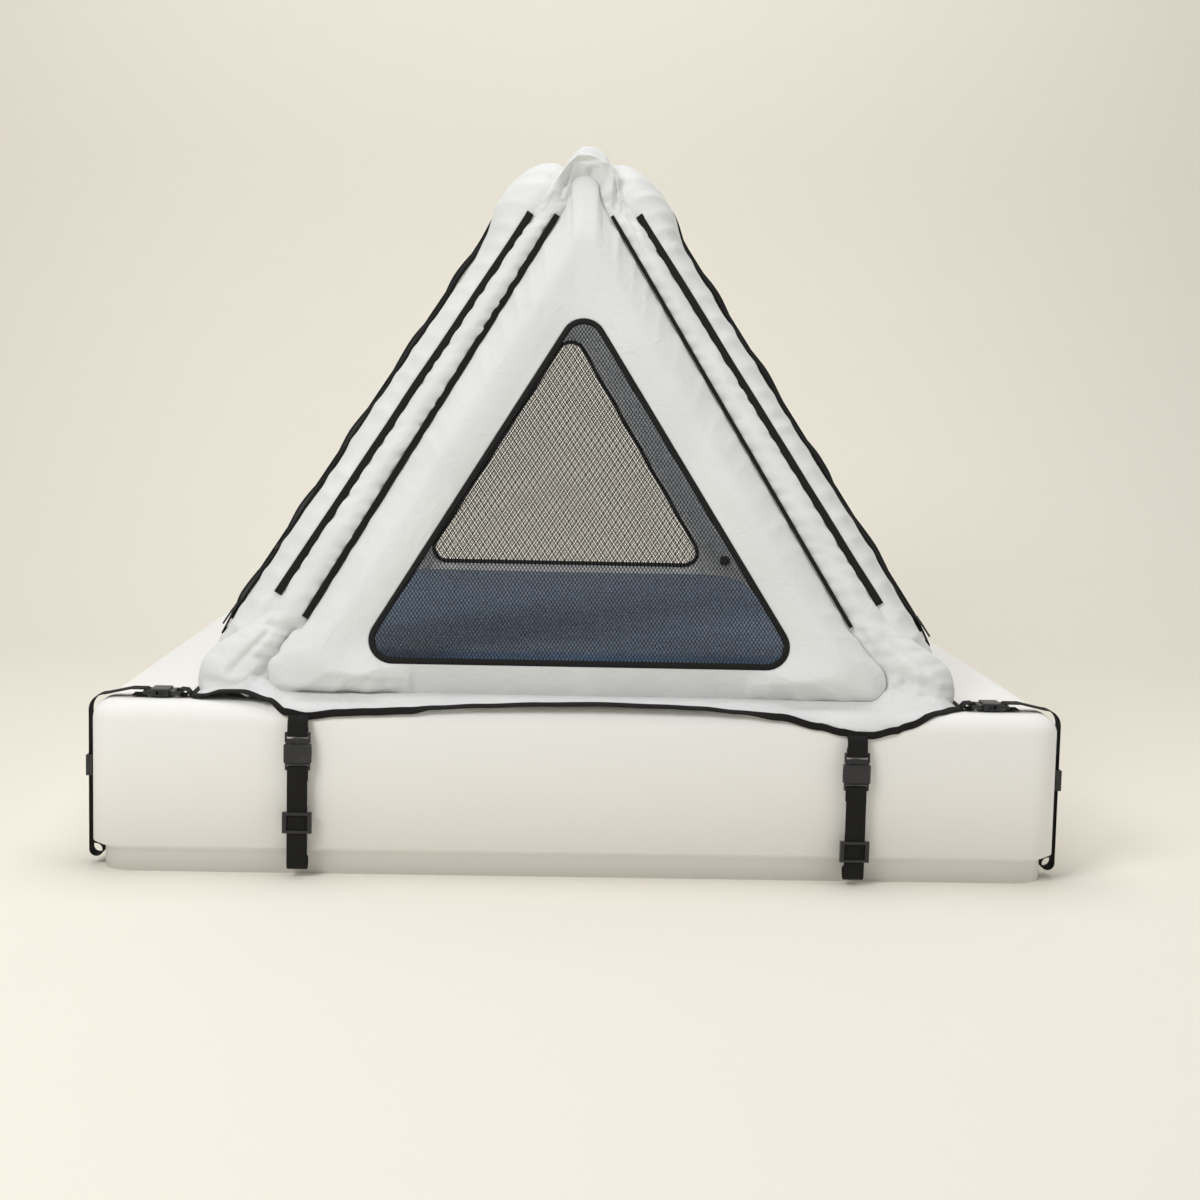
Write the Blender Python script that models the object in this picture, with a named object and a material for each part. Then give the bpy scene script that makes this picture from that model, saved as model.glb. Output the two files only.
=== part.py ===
"""Inflatable travel bed: a fabric enclosure held up by four air beams, strapped down on top of a bed.

Units are metres. X runs across the bed, Y from its foot end (-Y) to its head end (+Y), and Z is up.
The origin is the middle of the ground sheet's underside, where the enclosure rests on the bed.
"""

import math

import bmesh
import bpy
from mathutils import Matrix, Vector

# Running clearance between pieces that touch or nearly touch
GAP = 0.0003

# End panels, at the foot and the head of the bed, measured at the middle of the inflated band
END_BASE = 0.921
END_LEAN = math.radians(21.0)
END_BAND = 0.106
END_SILL = 0.048
END_LIFT = 0.005
END_SHOULDER_HALF = 0.051
END_SHOULDER_HEIGHT = 0.790
TONGUE_HALF = 0.024
TONGUE_HEIGHT = 0.878
END_CORNER_RADIUS = 0.070
END_SHOULDER_RADIUS = 0.050
WINDOW_APEX_RADIUS = 0.038
WINDOW_CORNER_RADIUS = 0.040
END_FOOT_END = 0.268
WINDOW_BASE_IN = 0.002
WINDOW_LEAN_IN = 1.0388

# Side panels
SIDE_BASE = 0.590
RIDGE_HEIGHT = 0.894
RIDGE_HALF_GAP = 0.033
SIDE_BAND = 0.110
SIDE_SILL = 0.058
SIDE_LIFT = 0.010
SIDE_SETBACK = 0.004
SIDE_CORNER_RADIUS = 0.080
SHOULDER_RADIUS = 0.130
DOOR_CORNER_RADIUS = 0.030
SIDE_FOOT_END = 0.550
CORNER_SPACE = 0.073

# Inflated band: how far its faces swell out of and into the panel, and its fabric
SWELL_OUT = 0.033
SWELL_IN = 0.058
SLEEVE_WALL = 0.0015
SLEEVE_EDGE = 0.0030
SLIT = 0.0030
SINGLE_LAYER = 0.0040
FOOT_TAPER = 0.013
FLOOR_CLEARANCE = 0.0025
END_SEAT = 0.044
SIDE_SEAT = 0.044
TONGUE_SWELL_OUT = 0.62
TONGUE_SWELL_IN = 0.25

# Air beams and valves
BEAM_ACROSS = 0.66
BEAM_DEEP = 0.68
VALVE_HEIGHT = 0.170
VALVE_RADIUS = 0.011
VALVE_PROUD = 0.004
VALVE_HOLE_CLEARANCE = 0.003
CAP_RADIUS = 0.013
CAP_THICKNESS = 0.004

# Windows, doors and their zips
BINDING_WIDTH = 0.010
BINDING_THICKNESS = 0.004
MESH_THICKNESS = 0.0016
ZIP_OVERLAP = 0.012
ZIP_WIDTH = 0.014
ZIP_THICKNESS = 0.003
DOOR_BULGE = 0.035
DOOR_HEM_CLEARANCE = 0.0045
SLIDER_LENGTH = 0.018
SLIDER_WIDTH = 0.011
SLIDER_THICKNESS = 0.005
PULL_LENGTH = 0.030
PULL_WIDTH = 0.007
PULL_THICKNESS = 0.002

# Corner and ridge gussets
GUSSET_THICKNESS = 0.0016
GUSSET_BULGE = 0.014
GUSSET_TOP = 0.800
TAPE_HALF = 0.007
ROOF_LUMP_HEIGHT = 0.926

# Ground sheet, hem and mat
HEM_HALF_LENGTH = 1.000
HEM_HALF_WIDTH = 0.620
HEM_END_HALF = 0.462
HEM_SIDE_HALF = HEM_HALF_LENGTH - 0.050
HEM_CORNER_RADIUS = 0.030
SHEET_THICKNESS = 0.002
HEM_OUT = 0.0045
HEM_LIP = 0.009
HEM_RISE = 0.0045
MAT_HALF_WIDTH = 0.455
MAT_HALF_LENGTH = 0.820
MAT_HEIGHT = 0.048
MAT_CROWN = 0.014
MAT_CORNER_RADIUS = 0.110

# Tie-down straps
WEB_WIDTH = 0.032
WEB_THICKNESS = 0.0016
END_STRAP_AT = HEM_END_HALF - 0.022
SIDE_STRAP_AT = HEM_SIDE_HALF - 0.020
STRAP_STANDOFF = 0.0175
STRAP_REST = 0.0080
BED_EDGE = 0.140
RAIL_RADIUS = 0.0105
LOOP_RADIUS = 0.0048
PLY_STEP = 0.0026
BUCKLE_HALF = 0.0215
BUCKLE_THICKNESS = 0.0124
PRONG_THICKNESS = 0.006
POCKET_HALF = 0.0185
POCKET_THICKNESS = 0.0068
BAR_HALF = 0.0019
SLOT_HALF = 0.0168
GLIDE_HALF = 0.0230
GLIDE_LENGTH = 0.033
# For each strap: how far its buckle lies from the hem, then how far its tri-glide and its loop's
# centre lie below the top of the bed
STRAPS = {
    "foot_left": (0.042, 0.183, 0.248),
    "foot_right": (0.060, 0.216, 0.252),
    "head_left": (0.046, 0.196, 0.248),
    "head_right": (0.046, 0.196, 0.248),
    "left_foot": (0.016, 0.110, 0.248),
    "left_head": (0.016, 0.110, 0.248),
    "right_foot": (0.016, 0.110, 0.248),
    "right_head": (0.016, 0.110, 0.248),
}

SIDE_SLOPE = (SIDE_BASE - RIDGE_HALF_GAP) / RIDGE_HEIGHT
SIDE_LEAN = math.atan(SIDE_SLOPE)
RIDGE_V = RIDGE_HEIGHT / math.cos(SIDE_LEAN)


def material(name, colour, roughness, metallic=0.0):
    made = bpy.data.materials.new(name)
    made.use_nodes = True
    shader = made.node_tree.nodes["Principled BSDF"]
    shader.inputs["Base Color"].default_value = (*colour, 1.0)
    shader.inputs["Roughness"].default_value = roughness
    shader.inputs["Metallic"].default_value = metallic
    return made


def clear_scene():
    for obj in list(bpy.data.objects):
        bpy.data.objects.remove(obj, do_unlink=True)


class Panel:
    """A working plane that leans in over the bed: u runs across it, v up its slope and w out of it."""

    def __init__(self, base, lean, turn):
        spin = Matrix.Rotation(turn, 3, "Z")
        self.origin = spin @ Vector((0.0, -base, 0.0))
        self.across = spin @ Vector((1.0, 0.0, 0.0))
        self.up = spin @ Vector((0.0, math.sin(lean), math.cos(lean)))
        self.out = spin @ Vector((0.0, -math.cos(lean), math.sin(lean)))

    def point(self, u, v, w=0.0):
        return self.origin + self.across * u + self.up * v + self.out * w

    def frame(self, u, v, w=0.0):
        """A matrix whose X, Y and Z run across, up and out of the panel."""
        turned = Matrix((self.across, self.up, self.out)).transposed().to_4x4()
        turned.translation = self.point(u, v, w)
        return turned


def add_object(name, bm, finish, smooth=True, place=None):
    """Turn a bmesh into a named object whose faces point out."""
    bmesh.ops.recalc_face_normals(bm, faces=bm.faces)
    mesh = bpy.data.meshes.new(name)
    bm.to_mesh(mesh)
    bm.free()
    if mesh.polygons and closed_volume(mesh) < 0:
        mesh.flip_normals()
    mesh.materials.append(finish)
    if smooth:
        mesh.shade_smooth()
        mesh.set_sharp_from_angle(angle=math.radians(50))
    obj = bpy.data.objects.new(name, mesh)
    if place is not None:
        obj.matrix_world = place
    bpy.context.scene.collection.objects.link(obj)
    return obj


def closed_volume(mesh):
    mesh.calc_loop_triangles()
    total = 0.0
    for triangle in mesh.loop_triangles:
        a, b, c = (mesh.vertices[i].co for i in triangle.vertices)
        total += a.dot(b.cross(c))
    return total / 6


def loft(rings, closed=False, crossed=None):
    """Skin a row of rings of points. An open row gets a cap at each end.

    Crossed says for each side of a ring which way its faces split, so that both faces of a thin wall split alike.
    """
    bm = bmesh.new()
    rows = [[bm.verts.new(point) for point in ring] for ring in rings]
    size = len(rows[0])
    last = len(rows) if closed else len(rows) - 1
    for i in range(last):
        here, there = rows[i], rows[(i + 1) % len(rows)]
        for j in range(size):
            k = (j + 1) % size
            if crossed is None:
                bm.faces.new((here[j], here[k], there[k], there[j]))
            elif crossed[j]:
                bm.faces.new((here[j], here[k], there[j]))
                bm.faces.new((here[k], there[k], there[j]))
            else:
                bm.faces.new((here[j], here[k], there[k]))
                bm.faces.new((here[j], there[k], there[j]))
    if not closed:
        bm.faces.new(rows[0])
        bm.faces.new(list(reversed(rows[-1])))
    return bm


def plate(outer, holes, low, high):
    """A flat plate between two levels, from an outline and its holes."""
    bm = bmesh.new()
    edges = []
    for ring in [outer, *holes]:
        verts = [bm.verts.new((x, y, low)) for x, y in ring]
        edges += [bm.edges.new((verts[i - 1], verts[i])) for i in range(len(verts))]
    filled = bmesh.ops.triangle_fill(bm, use_beauty=True, edges=edges)
    faces = [item for item in filled["geom"] if isinstance(item, bmesh.types.BMFace)]
    raised = bmesh.ops.extrude_face_region(bm, geom=faces)
    verts = [item for item in raised["geom"] if isinstance(item, bmesh.types.BMVert)]
    bmesh.ops.translate(bm, vec=(0.0, 0.0, high - low), verts=verts)
    bmesh.ops.recalc_face_normals(bm, faces=bm.faces)
    return bm


def box(low, high):
    bm = bmesh.new()
    middle = (Vector(low) + Vector(high)) / 2
    size = Vector(high) - Vector(low)
    bmesh.ops.create_cube(bm, size=1.0, matrix=Matrix.Translation(middle) @ Matrix.Diagonal((*size, 1.0)))
    return bm


def combine(name, start, steps, finish, bevel=0.0):
    """Join and cut boxes and plates into one mesh: steps are (operation, bmesh)."""
    base = add_object(name + "_blank", start, finish, smooth=False)
    if bevel:
        rounded = base.modifiers.new("edges", "BEVEL")
        rounded.width = bevel
        rounded.segments = 1
    tools = []
    for i, (operation, bm) in enumerate(steps):
        tool = add_object(f"{name}_tool_{i}", bm, finish, smooth=False)
        tool.hide_render = True
        tool.display_type = "WIRE"
        tools.append(tool)
        step = base.modifiers.new(f"step_{i}", "BOOLEAN")
        step.operation = operation
        step.object = tool
    base.modifiers.new("triangles", "TRIANGULATE")
    bpy.context.view_layer.update()
    graph = bpy.context.evaluated_depsgraph_get()
    mesh = bpy.data.meshes.new_from_object(base.evaluated_get(graph))
    mesh.name = name
    for helper in [base, *tools]:
        bpy.data.objects.remove(helper, do_unlink=True)
    return mesh


def link_copy(name, mesh, place):
    obj = bpy.data.objects.new(name, mesh)
    obj.matrix_world = place
    bpy.context.scene.collection.objects.link(obj)
    return obj


def between(start, end, share):
    return start + (end - start) * share


def turned(arm, angle):
    return Vector((
        arm.x * math.cos(angle) - arm.y * math.sin(angle),
        arm.x * math.sin(angle) + arm.y * math.cos(angle),
    ))


def corner_arc(before, corner, after, radius, steps):
    """Points round one rounded corner, from its first tangent point to its last."""
    back = (before - corner).normalized()
    ahead = (after - corner).normalized()
    half = back.angle(ahead) / 2
    start = corner + back * radius / math.tan(half)
    centre = corner + (back + ahead).normalized() * radius / math.sin(half)
    angle = math.pi - 2 * half
    if back.x * ahead.y - back.y * ahead.x > 0:
        angle = -angle
    return [centre + turned(start - centre, angle * k / steps) for k in range(steps + 1)]


def outline(corners, radii, arc_steps, edges):
    """Points round a closed outline, anticlockwise. An edge is a number of steps, or a list of places across."""
    count = len(corners)
    points = [Vector(corner) for corner in corners]
    arcs = [
        corner_arc(points[i - 1], points[i], points[(i + 1) % count], radii[i], arc_steps[i])
        for i in range(count)
    ]
    run = []
    for i in range(count):
        run += arcs[i]
        start, end = arcs[i][-1], arcs[(i + 1) % count][0]
        if isinstance(edges[i], list):
            shares = [(u - start.x) / (end.x - start.x) for u in edges[i]]
        else:
            shares = [k / edges[i] for k in range(1, edges[i])]
        run += [between(start, end, share) for share in shares]
    return run


def inset(corners, distances):
    """Move each side of a convex anticlockwise outline in by its own distance."""
    count = len(corners)
    lines = []
    for i in range(count):
        a, b = Vector(corners[i]), Vector(corners[(i + 1) % count])
        along = (b - a).normalized()
        inward = Vector((-along.y, along.x))
        lines.append((a + inward * distances[i], along))
    moved = []
    for i in range(count):
        (p, d), (q, e) = lines[i - 1], lines[i]
        share = ((q - p).x * e.y - (q - p).y * e.x) / (d.x * e.y - d.y * e.x)
        moved.append(tuple(p + d * share))
    return moved


ARC_STEPS = 4
LEG_STEPS = 4


class EndShape:
    """The outlines of an end panel: the sleeve's outer edge with its tongue, and the window."""

    lean = END_LEAN
    seat = END_SEAT
    foot_end = END_FOOT_END
    # The outer edge runs beside the side panel, CORNER_SPACE away, up to the shoulder
    base_half = SIDE_BASE - CORNER_SPACE
    low = END_LIFT
    shoulder = (END_SHOULDER_HALF, END_SHOULDER_HEIGHT / math.cos(END_LEAN))
    tip = (TONGUE_HALF, TONGUE_HEIGHT / math.cos(END_LEAN))
    stops = [-END_FOOT_END - FOOT_TAPER, -END_FOOT_END + FOOT_TAPER, 0.0, END_FOOT_END - FOOT_TAPER,
             END_FOOT_END + FOOT_TAPER]
    shoulder_steps = 2
    tip_steps = 3

    def outer(self):
        right = [(self.base_half, self.low), self.shoulder, self.tip]
        corners = right + [(-u, v) for u, v in reversed(right)]
        radii = [END_CORNER_RADIUS, END_SHOULDER_RADIUS, TONGUE_HALF * 0.96]
        steps = [ARC_STEPS, self.shoulder_steps, self.tip_steps]
        edges = [LEG_STEPS, 1, 1, 1, LEG_STEPS, self.stops]
        return outline(corners, radii + radii[::-1], steps + steps[::-1], edges)

    def triangle(self):
        """The window's lines: they lean in a little more than the legs, and meet at the top."""
        half = self.base_half - WINDOW_BASE_IN
        slope = (self.base_half - self.shoulder[0]) / (self.shoulder[1] - self.low) * WINDOW_LEAN_IN
        top = self.low + half / slope
        return [(half, self.low), (0.0, top), (-half, self.low)]

    def opening(self, extra=0.0):
        band = END_BAND + extra
        sill = END_SILL - self.low + extra
        return inset(self.triangle(), [band, band, sill])

    def inner(self, extra=0.0):
        apex_steps = 2 * (self.shoulder_steps + self.tip_steps) + 3
        radii = [WINDOW_CORNER_RADIUS - extra, WINDOW_APEX_RADIUS - extra, WINDOW_CORNER_RADIUS - extra]
        edges = [LEG_STEPS, LEG_STEPS, self.stops]
        return outline(self.opening(extra), radii, [ARC_STEPS, apex_steps, ARC_STEPS], edges)

    def edge_at(self, height):
        """The outer edge's half width and place up the slope at a height."""
        v = height / math.cos(self.lean)
        if v < self.shoulder[1]:
            share = (v - self.low) / (self.shoulder[1] - self.low)
            return self.base_half + (self.shoulder[0] - self.base_half) * share, v
        share = (v - self.shoulder[1]) / (self.tip[1] - self.shoulder[1])
        return self.shoulder[0] + (self.tip[0] - self.shoulder[0]) * share, v

    def swell(self, outer_point):
        return (TONGUE_SWELL_OUT, TONGUE_SWELL_IN) if outer_point.y > self.shoulder[1] else (1.0, 1.0)


class SideShape:
    """The outlines of a side panel: the sleeve's outer edge with its shoulders, and the doorway."""

    lean = SIDE_LEAN
    seat = SIDE_SEAT
    foot_end = SIDE_FOOT_END
    low = SIDE_LIFT
    # The front and back edges stand just behind the end panels and lean with them
    base_half = END_BASE + SIDE_SETBACK
    slope = math.tan(END_LEAN) * math.cos(SIDE_LEAN)
    stops = [-SIDE_FOOT_END - FOOT_TAPER, -SIDE_FOOT_END + FOOT_TAPER, 0.0, SIDE_FOOT_END - FOOT_TAPER,
             SIDE_FOOT_END + FOOT_TAPER]

    def half_at(self, v):
        return self.base_half - self.slope * v

    def corners(self):
        right = [(self.half_at(self.low), self.low), (self.half_at(RIDGE_V), RIDGE_V)]
        return right + [(-u, v) for u, v in reversed(right)]

    def round_off(self, corners, low_radius, top_radius):
        radii = [low_radius, top_radius, top_radius, low_radius]
        edges = [LEG_STEPS, LEG_STEPS, LEG_STEPS, self.stops]
        return outline(corners, radii, [ARC_STEPS] * 4, edges)

    def outer(self):
        return self.round_off(self.corners(), SIDE_CORNER_RADIUS, SHOULDER_RADIUS)

    def opening(self, extra=0.0):
        band = SIDE_BAND + extra
        return inset(self.corners(), [band, band, band, SIDE_SILL - self.low + extra])

    def inner(self, extra=0.0):
        return self.round_off(self.opening(extra), DOOR_CORNER_RADIUS - extra, DOOR_CORNER_RADIUS - extra)

    def edge_at(self, height):
        v = height / math.cos(self.lean)
        return self.half_at(v), v

    def swell(self, outer_point):
        return (1.0, 1.0)


END = EndShape()
SIDE = SideShape()
PANELS = {
    "front": (END, Panel(END_BASE, END_LEAN, 0.0)),
    "rear": (END, Panel(END_BASE, END_LEAN, math.pi)),
    "right": (SIDE, Panel(SIDE_BASE, SIDE_LEAN, math.pi / 2)),
    "left": (SIDE, Panel(SIDE_BASE, SIDE_LEAN, -math.pi / 2)),
}
SKIN_SHARES = [math.cos(math.radians(angle)) for angle in (0, 36, 72, 108, 144, 180)]
CHANNEL_SHARES = (0.86, 0.31, -0.31, -0.80)
# In a sleeve's ring the outer skin and the channel's floor run inwards, the inner skin and its roof outwards
SLEEVE_CROSSED = [False] * len(SKIN_SHARES) + [True] * len(SKIN_SHARES)
SLEEVE_CROSSED += [False] * len(CHANNEL_SHARES) + [True] * len(CHANNEL_SHARES)


class Station:
    """One section across the inflated band, from its outer edge to its inner edge."""

    def __init__(self, shape, outer_point, inner_point):
        self.middle = (outer_point + inner_point) / 2
        self.half = (outer_point - inner_point).length / 2
        self.toward = (outer_point - inner_point).normalized()
        self.seat = shape.seat
        low_band = self.middle.y < shape.opening()[0][1]
        share = 1.0
        if low_band and abs(self.middle.x) < shape.foot_end:
            share = 0.0
        self.filled = share
        size = min(1.0, self.half / (SWELL_OUT + SWELL_IN) * 2.0)
        swell_out, swell_in = shape.swell(outer_point)
        self.out = SINGLE_LAYER / 2 + (SWELL_OUT * size * swell_out - SINGLE_LAYER / 2) * share
        self.into = SINGLE_LAYER / 2 + (SWELL_IN * size * swell_in - SINGLE_LAYER / 2) * share
        # Where the band meets the ground sheet it is squeezed flatter
        for c in SKIN_SHARES[1:-1]:
            place = self.middle.y + self.toward.y * self.half * c
            height = place * math.cos(shape.lean) + self.level(c) * math.sin(shape.lean)
            room = (height - FLOOR_CLEARANCE) / (math.sin(shape.lean) * math.sqrt(1 - c * c))
            self.into = min(self.into, room)

    def level(self, share):
        return self.seat * (1 - share) / 2

    def face(self, share, outward):
        """How far out of the panel a face of the sleeve lies, as a skin with straight chords."""
        for a, b in zip(SKIN_SHARES, SKIN_SHARES[1:]):
            if b <= share <= a:
                ends = [self.corner(c, outward) for c in (a, b)]
                return between(ends[0], ends[1], (a - share) / (a - b))
        return self.corner(share, outward)

    def corner(self, share, outward):
        edge = SLIT / 2 if share > 0 else SLEEVE_EDGE / 2
        round_off = math.sqrt(max(0.0, 1 - share * share))
        if not outward:
            return self.level(share) - max(self.into * round_off, edge)
        if share > 0:
            return self.level(share) + max(self.out * round_off, edge)
        # From its crown to the window or door the outer face is nearly flat
        rise = self.out * (1 - share * share) + self.filled * self.seat / 2 * (share * share + share)
        return self.level(share) + max(rise, edge)

    def place(self, panel, share, w):
        flat = self.middle + self.toward * self.half * share
        return panel.point(flat.x, flat.y, w)

    def sleeve(self, panel):
        """The open C of the sleeve: out round the band and back round the channel for the air beam."""
        ring = [self.place(panel, c, self.corner(c, True)) for c in SKIN_SHARES]
        ring += [self.place(panel, c, self.corner(c, False)) for c in reversed(SKIN_SHARES)]
        wall = min(SLEEVE_WALL, self.out / 4)
        ring += [self.place(panel, c, self.face(c, False) + wall) for c in CHANNEL_SHARES]
        ring += [self.place(panel, c, self.face(c, True) - wall) for c in reversed(CHANNEL_SHARES)]
        return ring

    def beam(self, panel, sides=6):
        middle = (self.face(0.0, True) + self.face(0.0, False)) / 2
        deep = (self.face(0.0, True) - self.face(0.0, False)) / 2 * BEAM_DEEP
        ring = []
        for k in range(sides):
            angle = 2 * math.pi * k / sides
            tilt = self.level(BEAM_ACROSS * math.cos(angle)) - self.level(0.0)
            w = middle + tilt + deep * math.sin(angle)
            ring.append(self.place(panel, BEAM_ACROSS * math.cos(angle), w))
        return ring


def stations(shape):
    return [Station(shape, p, q) for p, q in zip(shape.outer(), shape.inner())]


def valve_place(shape, panel):
    """The middle of a leg at the valve's height, on the foot side of the door or on the left leg."""
    row = [s for s in stations(shape) if s.middle.x < 0]
    best = min(row, key=lambda s: abs(s.middle.y * math.cos(shape.lean) - VALVE_HEIGHT))
    return best, panel.frame(best.middle.x, best.middle.y)


def disc(radius, low, high, sides=16, turn=0.0):
    bm = bmesh.new()
    bmesh.ops.create_cone(
        bm, cap_ends=True, segments=sides, radius1=radius, radius2=radius, depth=high - low,
        matrix=Matrix.Translation((0.0, 0.0, (low + high) / 2)) @ Matrix.Rotation(turn, 4, "Z"),
    )
    return bm


def add_sleeve(name, shape, panel, finish):
    """The fabric sleeve, with a hole in its inner face for the valve."""
    rings = [s.sleeve(panel) for s in stations(shape)]
    sleeve = add_object(name + "_sleeve", loft(rings, closed=True, crossed=SLEEVE_CROSSED), finish)
    best, frame = valve_place(shape, panel)
    deep = best.face(0.0, False)
    cutter = add_object(
        name + "_valve_cutter",
        disc(VALVE_RADIUS + VALVE_HOLE_CLEARANCE, deep - 0.02, deep + 0.01, turn=math.pi / 16), finish, place=frame,
    )
    cutter.hide_render = True
    cutter.display_type = "WIRE"
    cut = sleeve.modifiers.new("valve_hole", "BOOLEAN")
    cut.operation = "DIFFERENCE"
    cut.object = cutter


def add_beam(name, shape, panel, finish, cap_finish):
    """The air beam runs from one foot, over the top, to the other, with a moulded valve through the sleeve."""
    row = stations(shape)
    inflated = [s for s in row if s.out > SINGLE_LAYER]
    split = max(i for i, s in enumerate(row) if s.out <= SINGLE_LAYER)
    order = [s for s in row[split + 1:] + row[:split + 1] if s in inflated]
    beam = add_object(name + "_air_beam", loft([s.beam(panel) for s in order]), finish)
    best, frame = valve_place(shape, panel)
    deep = best.face(0.0, False)
    boss = add_object(name + "_valve_boss", disc(VALVE_RADIUS, deep - VALVE_PROUD, 0.0), finish, place=frame)
    boss.hide_render = True
    boss.display_type = "WIRE"
    weld = beam.modifiers.new("valve", "BOOLEAN")
    weld.operation = "UNION"
    weld.object = boss
    low = deep - VALVE_PROUD - GAP
    hinge = bpy.data.objects.new(name + "_valve_hinge", None)
    hinge.matrix_world = frame @ Matrix.Translation((0.0, -CAP_RADIUS, low))
    bpy.context.scene.collection.objects.link(hinge)
    cap = add_object(name + "_valve_cap", disc(CAP_RADIUS, -CAP_THICKNESS, 0.0), cap_finish)
    cap.parent = hinge
    cap.location = (0.0, CAP_RADIUS, 0.0)


def add_window(name, shape, panel, finish):
    """Mesh held in a thicker bound edge, as one flat solid."""
    level = shape.seat
    bound = BINDING_THICKNESS / 2
    thin = MESH_THICKNESS / 2
    rim = shape.inner(GAP + 0.0002)
    mesh_edge = shape.inner(GAP + BINDING_WIDTH)
    rings = []
    for points, w in ((mesh_edge, -thin), (mesh_edge, -bound), (rim, -bound), (rim, bound), (mesh_edge, bound),
                      (mesh_edge, thin)):
        rings.append([panel.point(p.x, p.y, level + w) for p in points])
    add_object(name, loft(rings), finish)


def zip_level(shape):
    """The level of the zip tape: on the highest stretch of the outer face that it runs over."""
    row = zip_part(shape, stations(shape))
    return max(s.face(-1 + ZIP_OVERLAP / s.half, True) for s in row) + GAP


def zip_part(shape, points):
    """What lies from the foot of one leg over the top to the foot of the other."""
    return points[ARC_STEPS:len(points) - len(shape.stops) - ARC_STEPS]


def zip_run(shape, extra):
    return zip_part(shape, shape.inner(extra))


def add_zip(name, shape, panel, finish):
    low = zip_level(shape)
    edges = [zip_run(shape, -ZIP_OVERLAP), zip_run(shape, ZIP_WIDTH - ZIP_OVERLAP)]
    rings = []
    for p, q in zip(*edges):
        rings.append([
            panel.point(p.x, p.y, low), panel.point(p.x, p.y, low + ZIP_THICKNESS),
            panel.point(q.x, q.y, low + ZIP_THICKNESS), panel.point(q.x, q.y, low),
        ])
    add_object(name, loft(rings), finish)


def door_outline(shape, extra):
    """The door's outline inside the zip, kept clear of the sill so that it can swing out."""
    step = ZIP_WIDTH - ZIP_OVERLAP + 0.0005 + extra
    band = SIDE_BAND + step
    corners = inset(shape.corners(), [band, band, band, SIDE_SILL - shape.low + DOOR_HEM_CLEARANCE + extra])
    radius = max(0.012, DOOR_CORNER_RADIUS - step)
    return outline(corners, [radius] * 4, [ARC_STEPS] * 4, [LEG_STEPS, LEG_STEPS, LEG_STEPS, 4])


def add_door(name, shape, panel, finish):
    """A mesh door that swells a little outwards, inside a bound edge, on the hinge line along its foot."""
    low = zip_level(shape)
    hinge = panel.frame(0.0, SIDE_SILL + DOOR_HEM_CLEARANCE, low)
    inverse = hinge.inverted()
    rim = door_outline(shape, 0.0)
    edge = door_outline(shape, BINDING_WIDTH)
    centre = Vector((0.0, sum(p.y for p in edge) / len(edge)))
    top, under = [], []
    for share in (1.0, 0.60):
        rise = DOOR_BULGE * (1 - share * share)
        ring = [centre + (p - centre) * share for p in edge]
        top.append([panel.point(p.x, p.y, low + ZIP_THICKNESS * 0.75 + rise) for p in ring])
        under.append([panel.point(p.x, p.y, low + ZIP_THICKNESS * 0.25 + rise) for p in ring])
    bound = [
        [panel.point(p.x, p.y, low + w) for p in points]
        for points, w in ((edge, 0.0), (rim, 0.0), (rim, ZIP_THICKNESS), (edge, ZIP_THICKNESS))
    ]
    rings = under[::-1] + bound + top
    rings = [[inverse @ point for point in ring] for ring in rings]
    add_object(name, loft(rings), finish, place=hinge)


def slider_mesh(finish):
    """A zip slider with its pull, its length along Y and its face along Z."""
    half = SLIDER_LENGTH / 2
    body = box((-SLIDER_WIDTH / 2, -half, 0.0), (SLIDER_WIDTH / 2, half, SLIDER_THICKNESS))
    pull = box(
        (-PULL_WIDTH / 2, -half - PULL_LENGTH + 0.006, SLIDER_THICKNESS - PULL_THICKNESS),
        (PULL_WIDTH / 2, -half + 0.006, SLIDER_THICKNESS + 0.0006),
    )
    return combine("slider", body, [("UNION", pull)], finish, bevel=0.001)


def leg_line(shape, side):
    """The foot of the zip's straight leg on one side, and its direction up the leg."""
    run = zip_run(shape, ZIP_WIDTH / 2 - ZIP_OVERLAP)
    if side < 0:
        run.reverse()
    return run[0], run[LEG_STEPS]


def add_slider(name, shape, panel, side, mesh):
    """The slider rests near the foot of the zip's leg nearest the foot end of the bed."""
    foot, head = leg_line(shape, side)
    along = (head - foot).normalized()
    at = foot + along * SLIDER_LENGTH
    level = zip_level(shape) + ZIP_THICKNESS + GAP
    turn = Matrix.Rotation(math.atan2(-along.x, along.y), 4, "Z")
    link_copy(name, mesh, panel.frame(at.x, at.y, level) @ turn)


def thicken(rows, thickness):
    """A closed skin of even thickness over a grid of points."""
    bm = bmesh.new()
    count, width = len(rows), len(rows[0])
    faces = ([], [])
    for i in range(count):
        lines = ([], [])
        for j in range(width):
            down = rows[min(i + 1, count - 1)][j] - rows[max(i - 1, 0)][j]
            arms = [
                (rows[i][k + 1] - rows[i][k]).cross(down).normalized()
                for k in (j - 1, j) if 0 <= k < width - 1
            ]
            normal = sum(arms, Vector()).normalized()
            reach = thickness / 2 / max(0.6, normal.dot(arms[0]))
            for line, side in zip(lines, (1, -1)):
                line.append(bm.verts.new(rows[i][j] + normal * reach * side))
        for face, line in zip(faces, lines):
            face.append(line)
    top, under = faces
    for grid, turn in ((top, 1), (under, -1)):
        for i in range(count - 1):
            for j in range(width - 1):
                bm.faces.new((grid[i][j], grid[i][j + 1], grid[i + 1][j + 1], grid[i + 1][j])[::turn])
    rim = [(i, 0) for i in range(count)] + [(count - 1, j) for j in range(1, width)]
    rim += [(i, width - 1) for i in range(count - 2, -1, -1)] + [(0, j) for j in range(width - 2, 0, -1)]
    for k, (i, j) in enumerate(rim):
        m, n = rim[(k + 1) % len(rim)]
        bm.faces.new((top[i][j], top[m][n], under[m][n], under[i][j]))
    return bm


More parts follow.
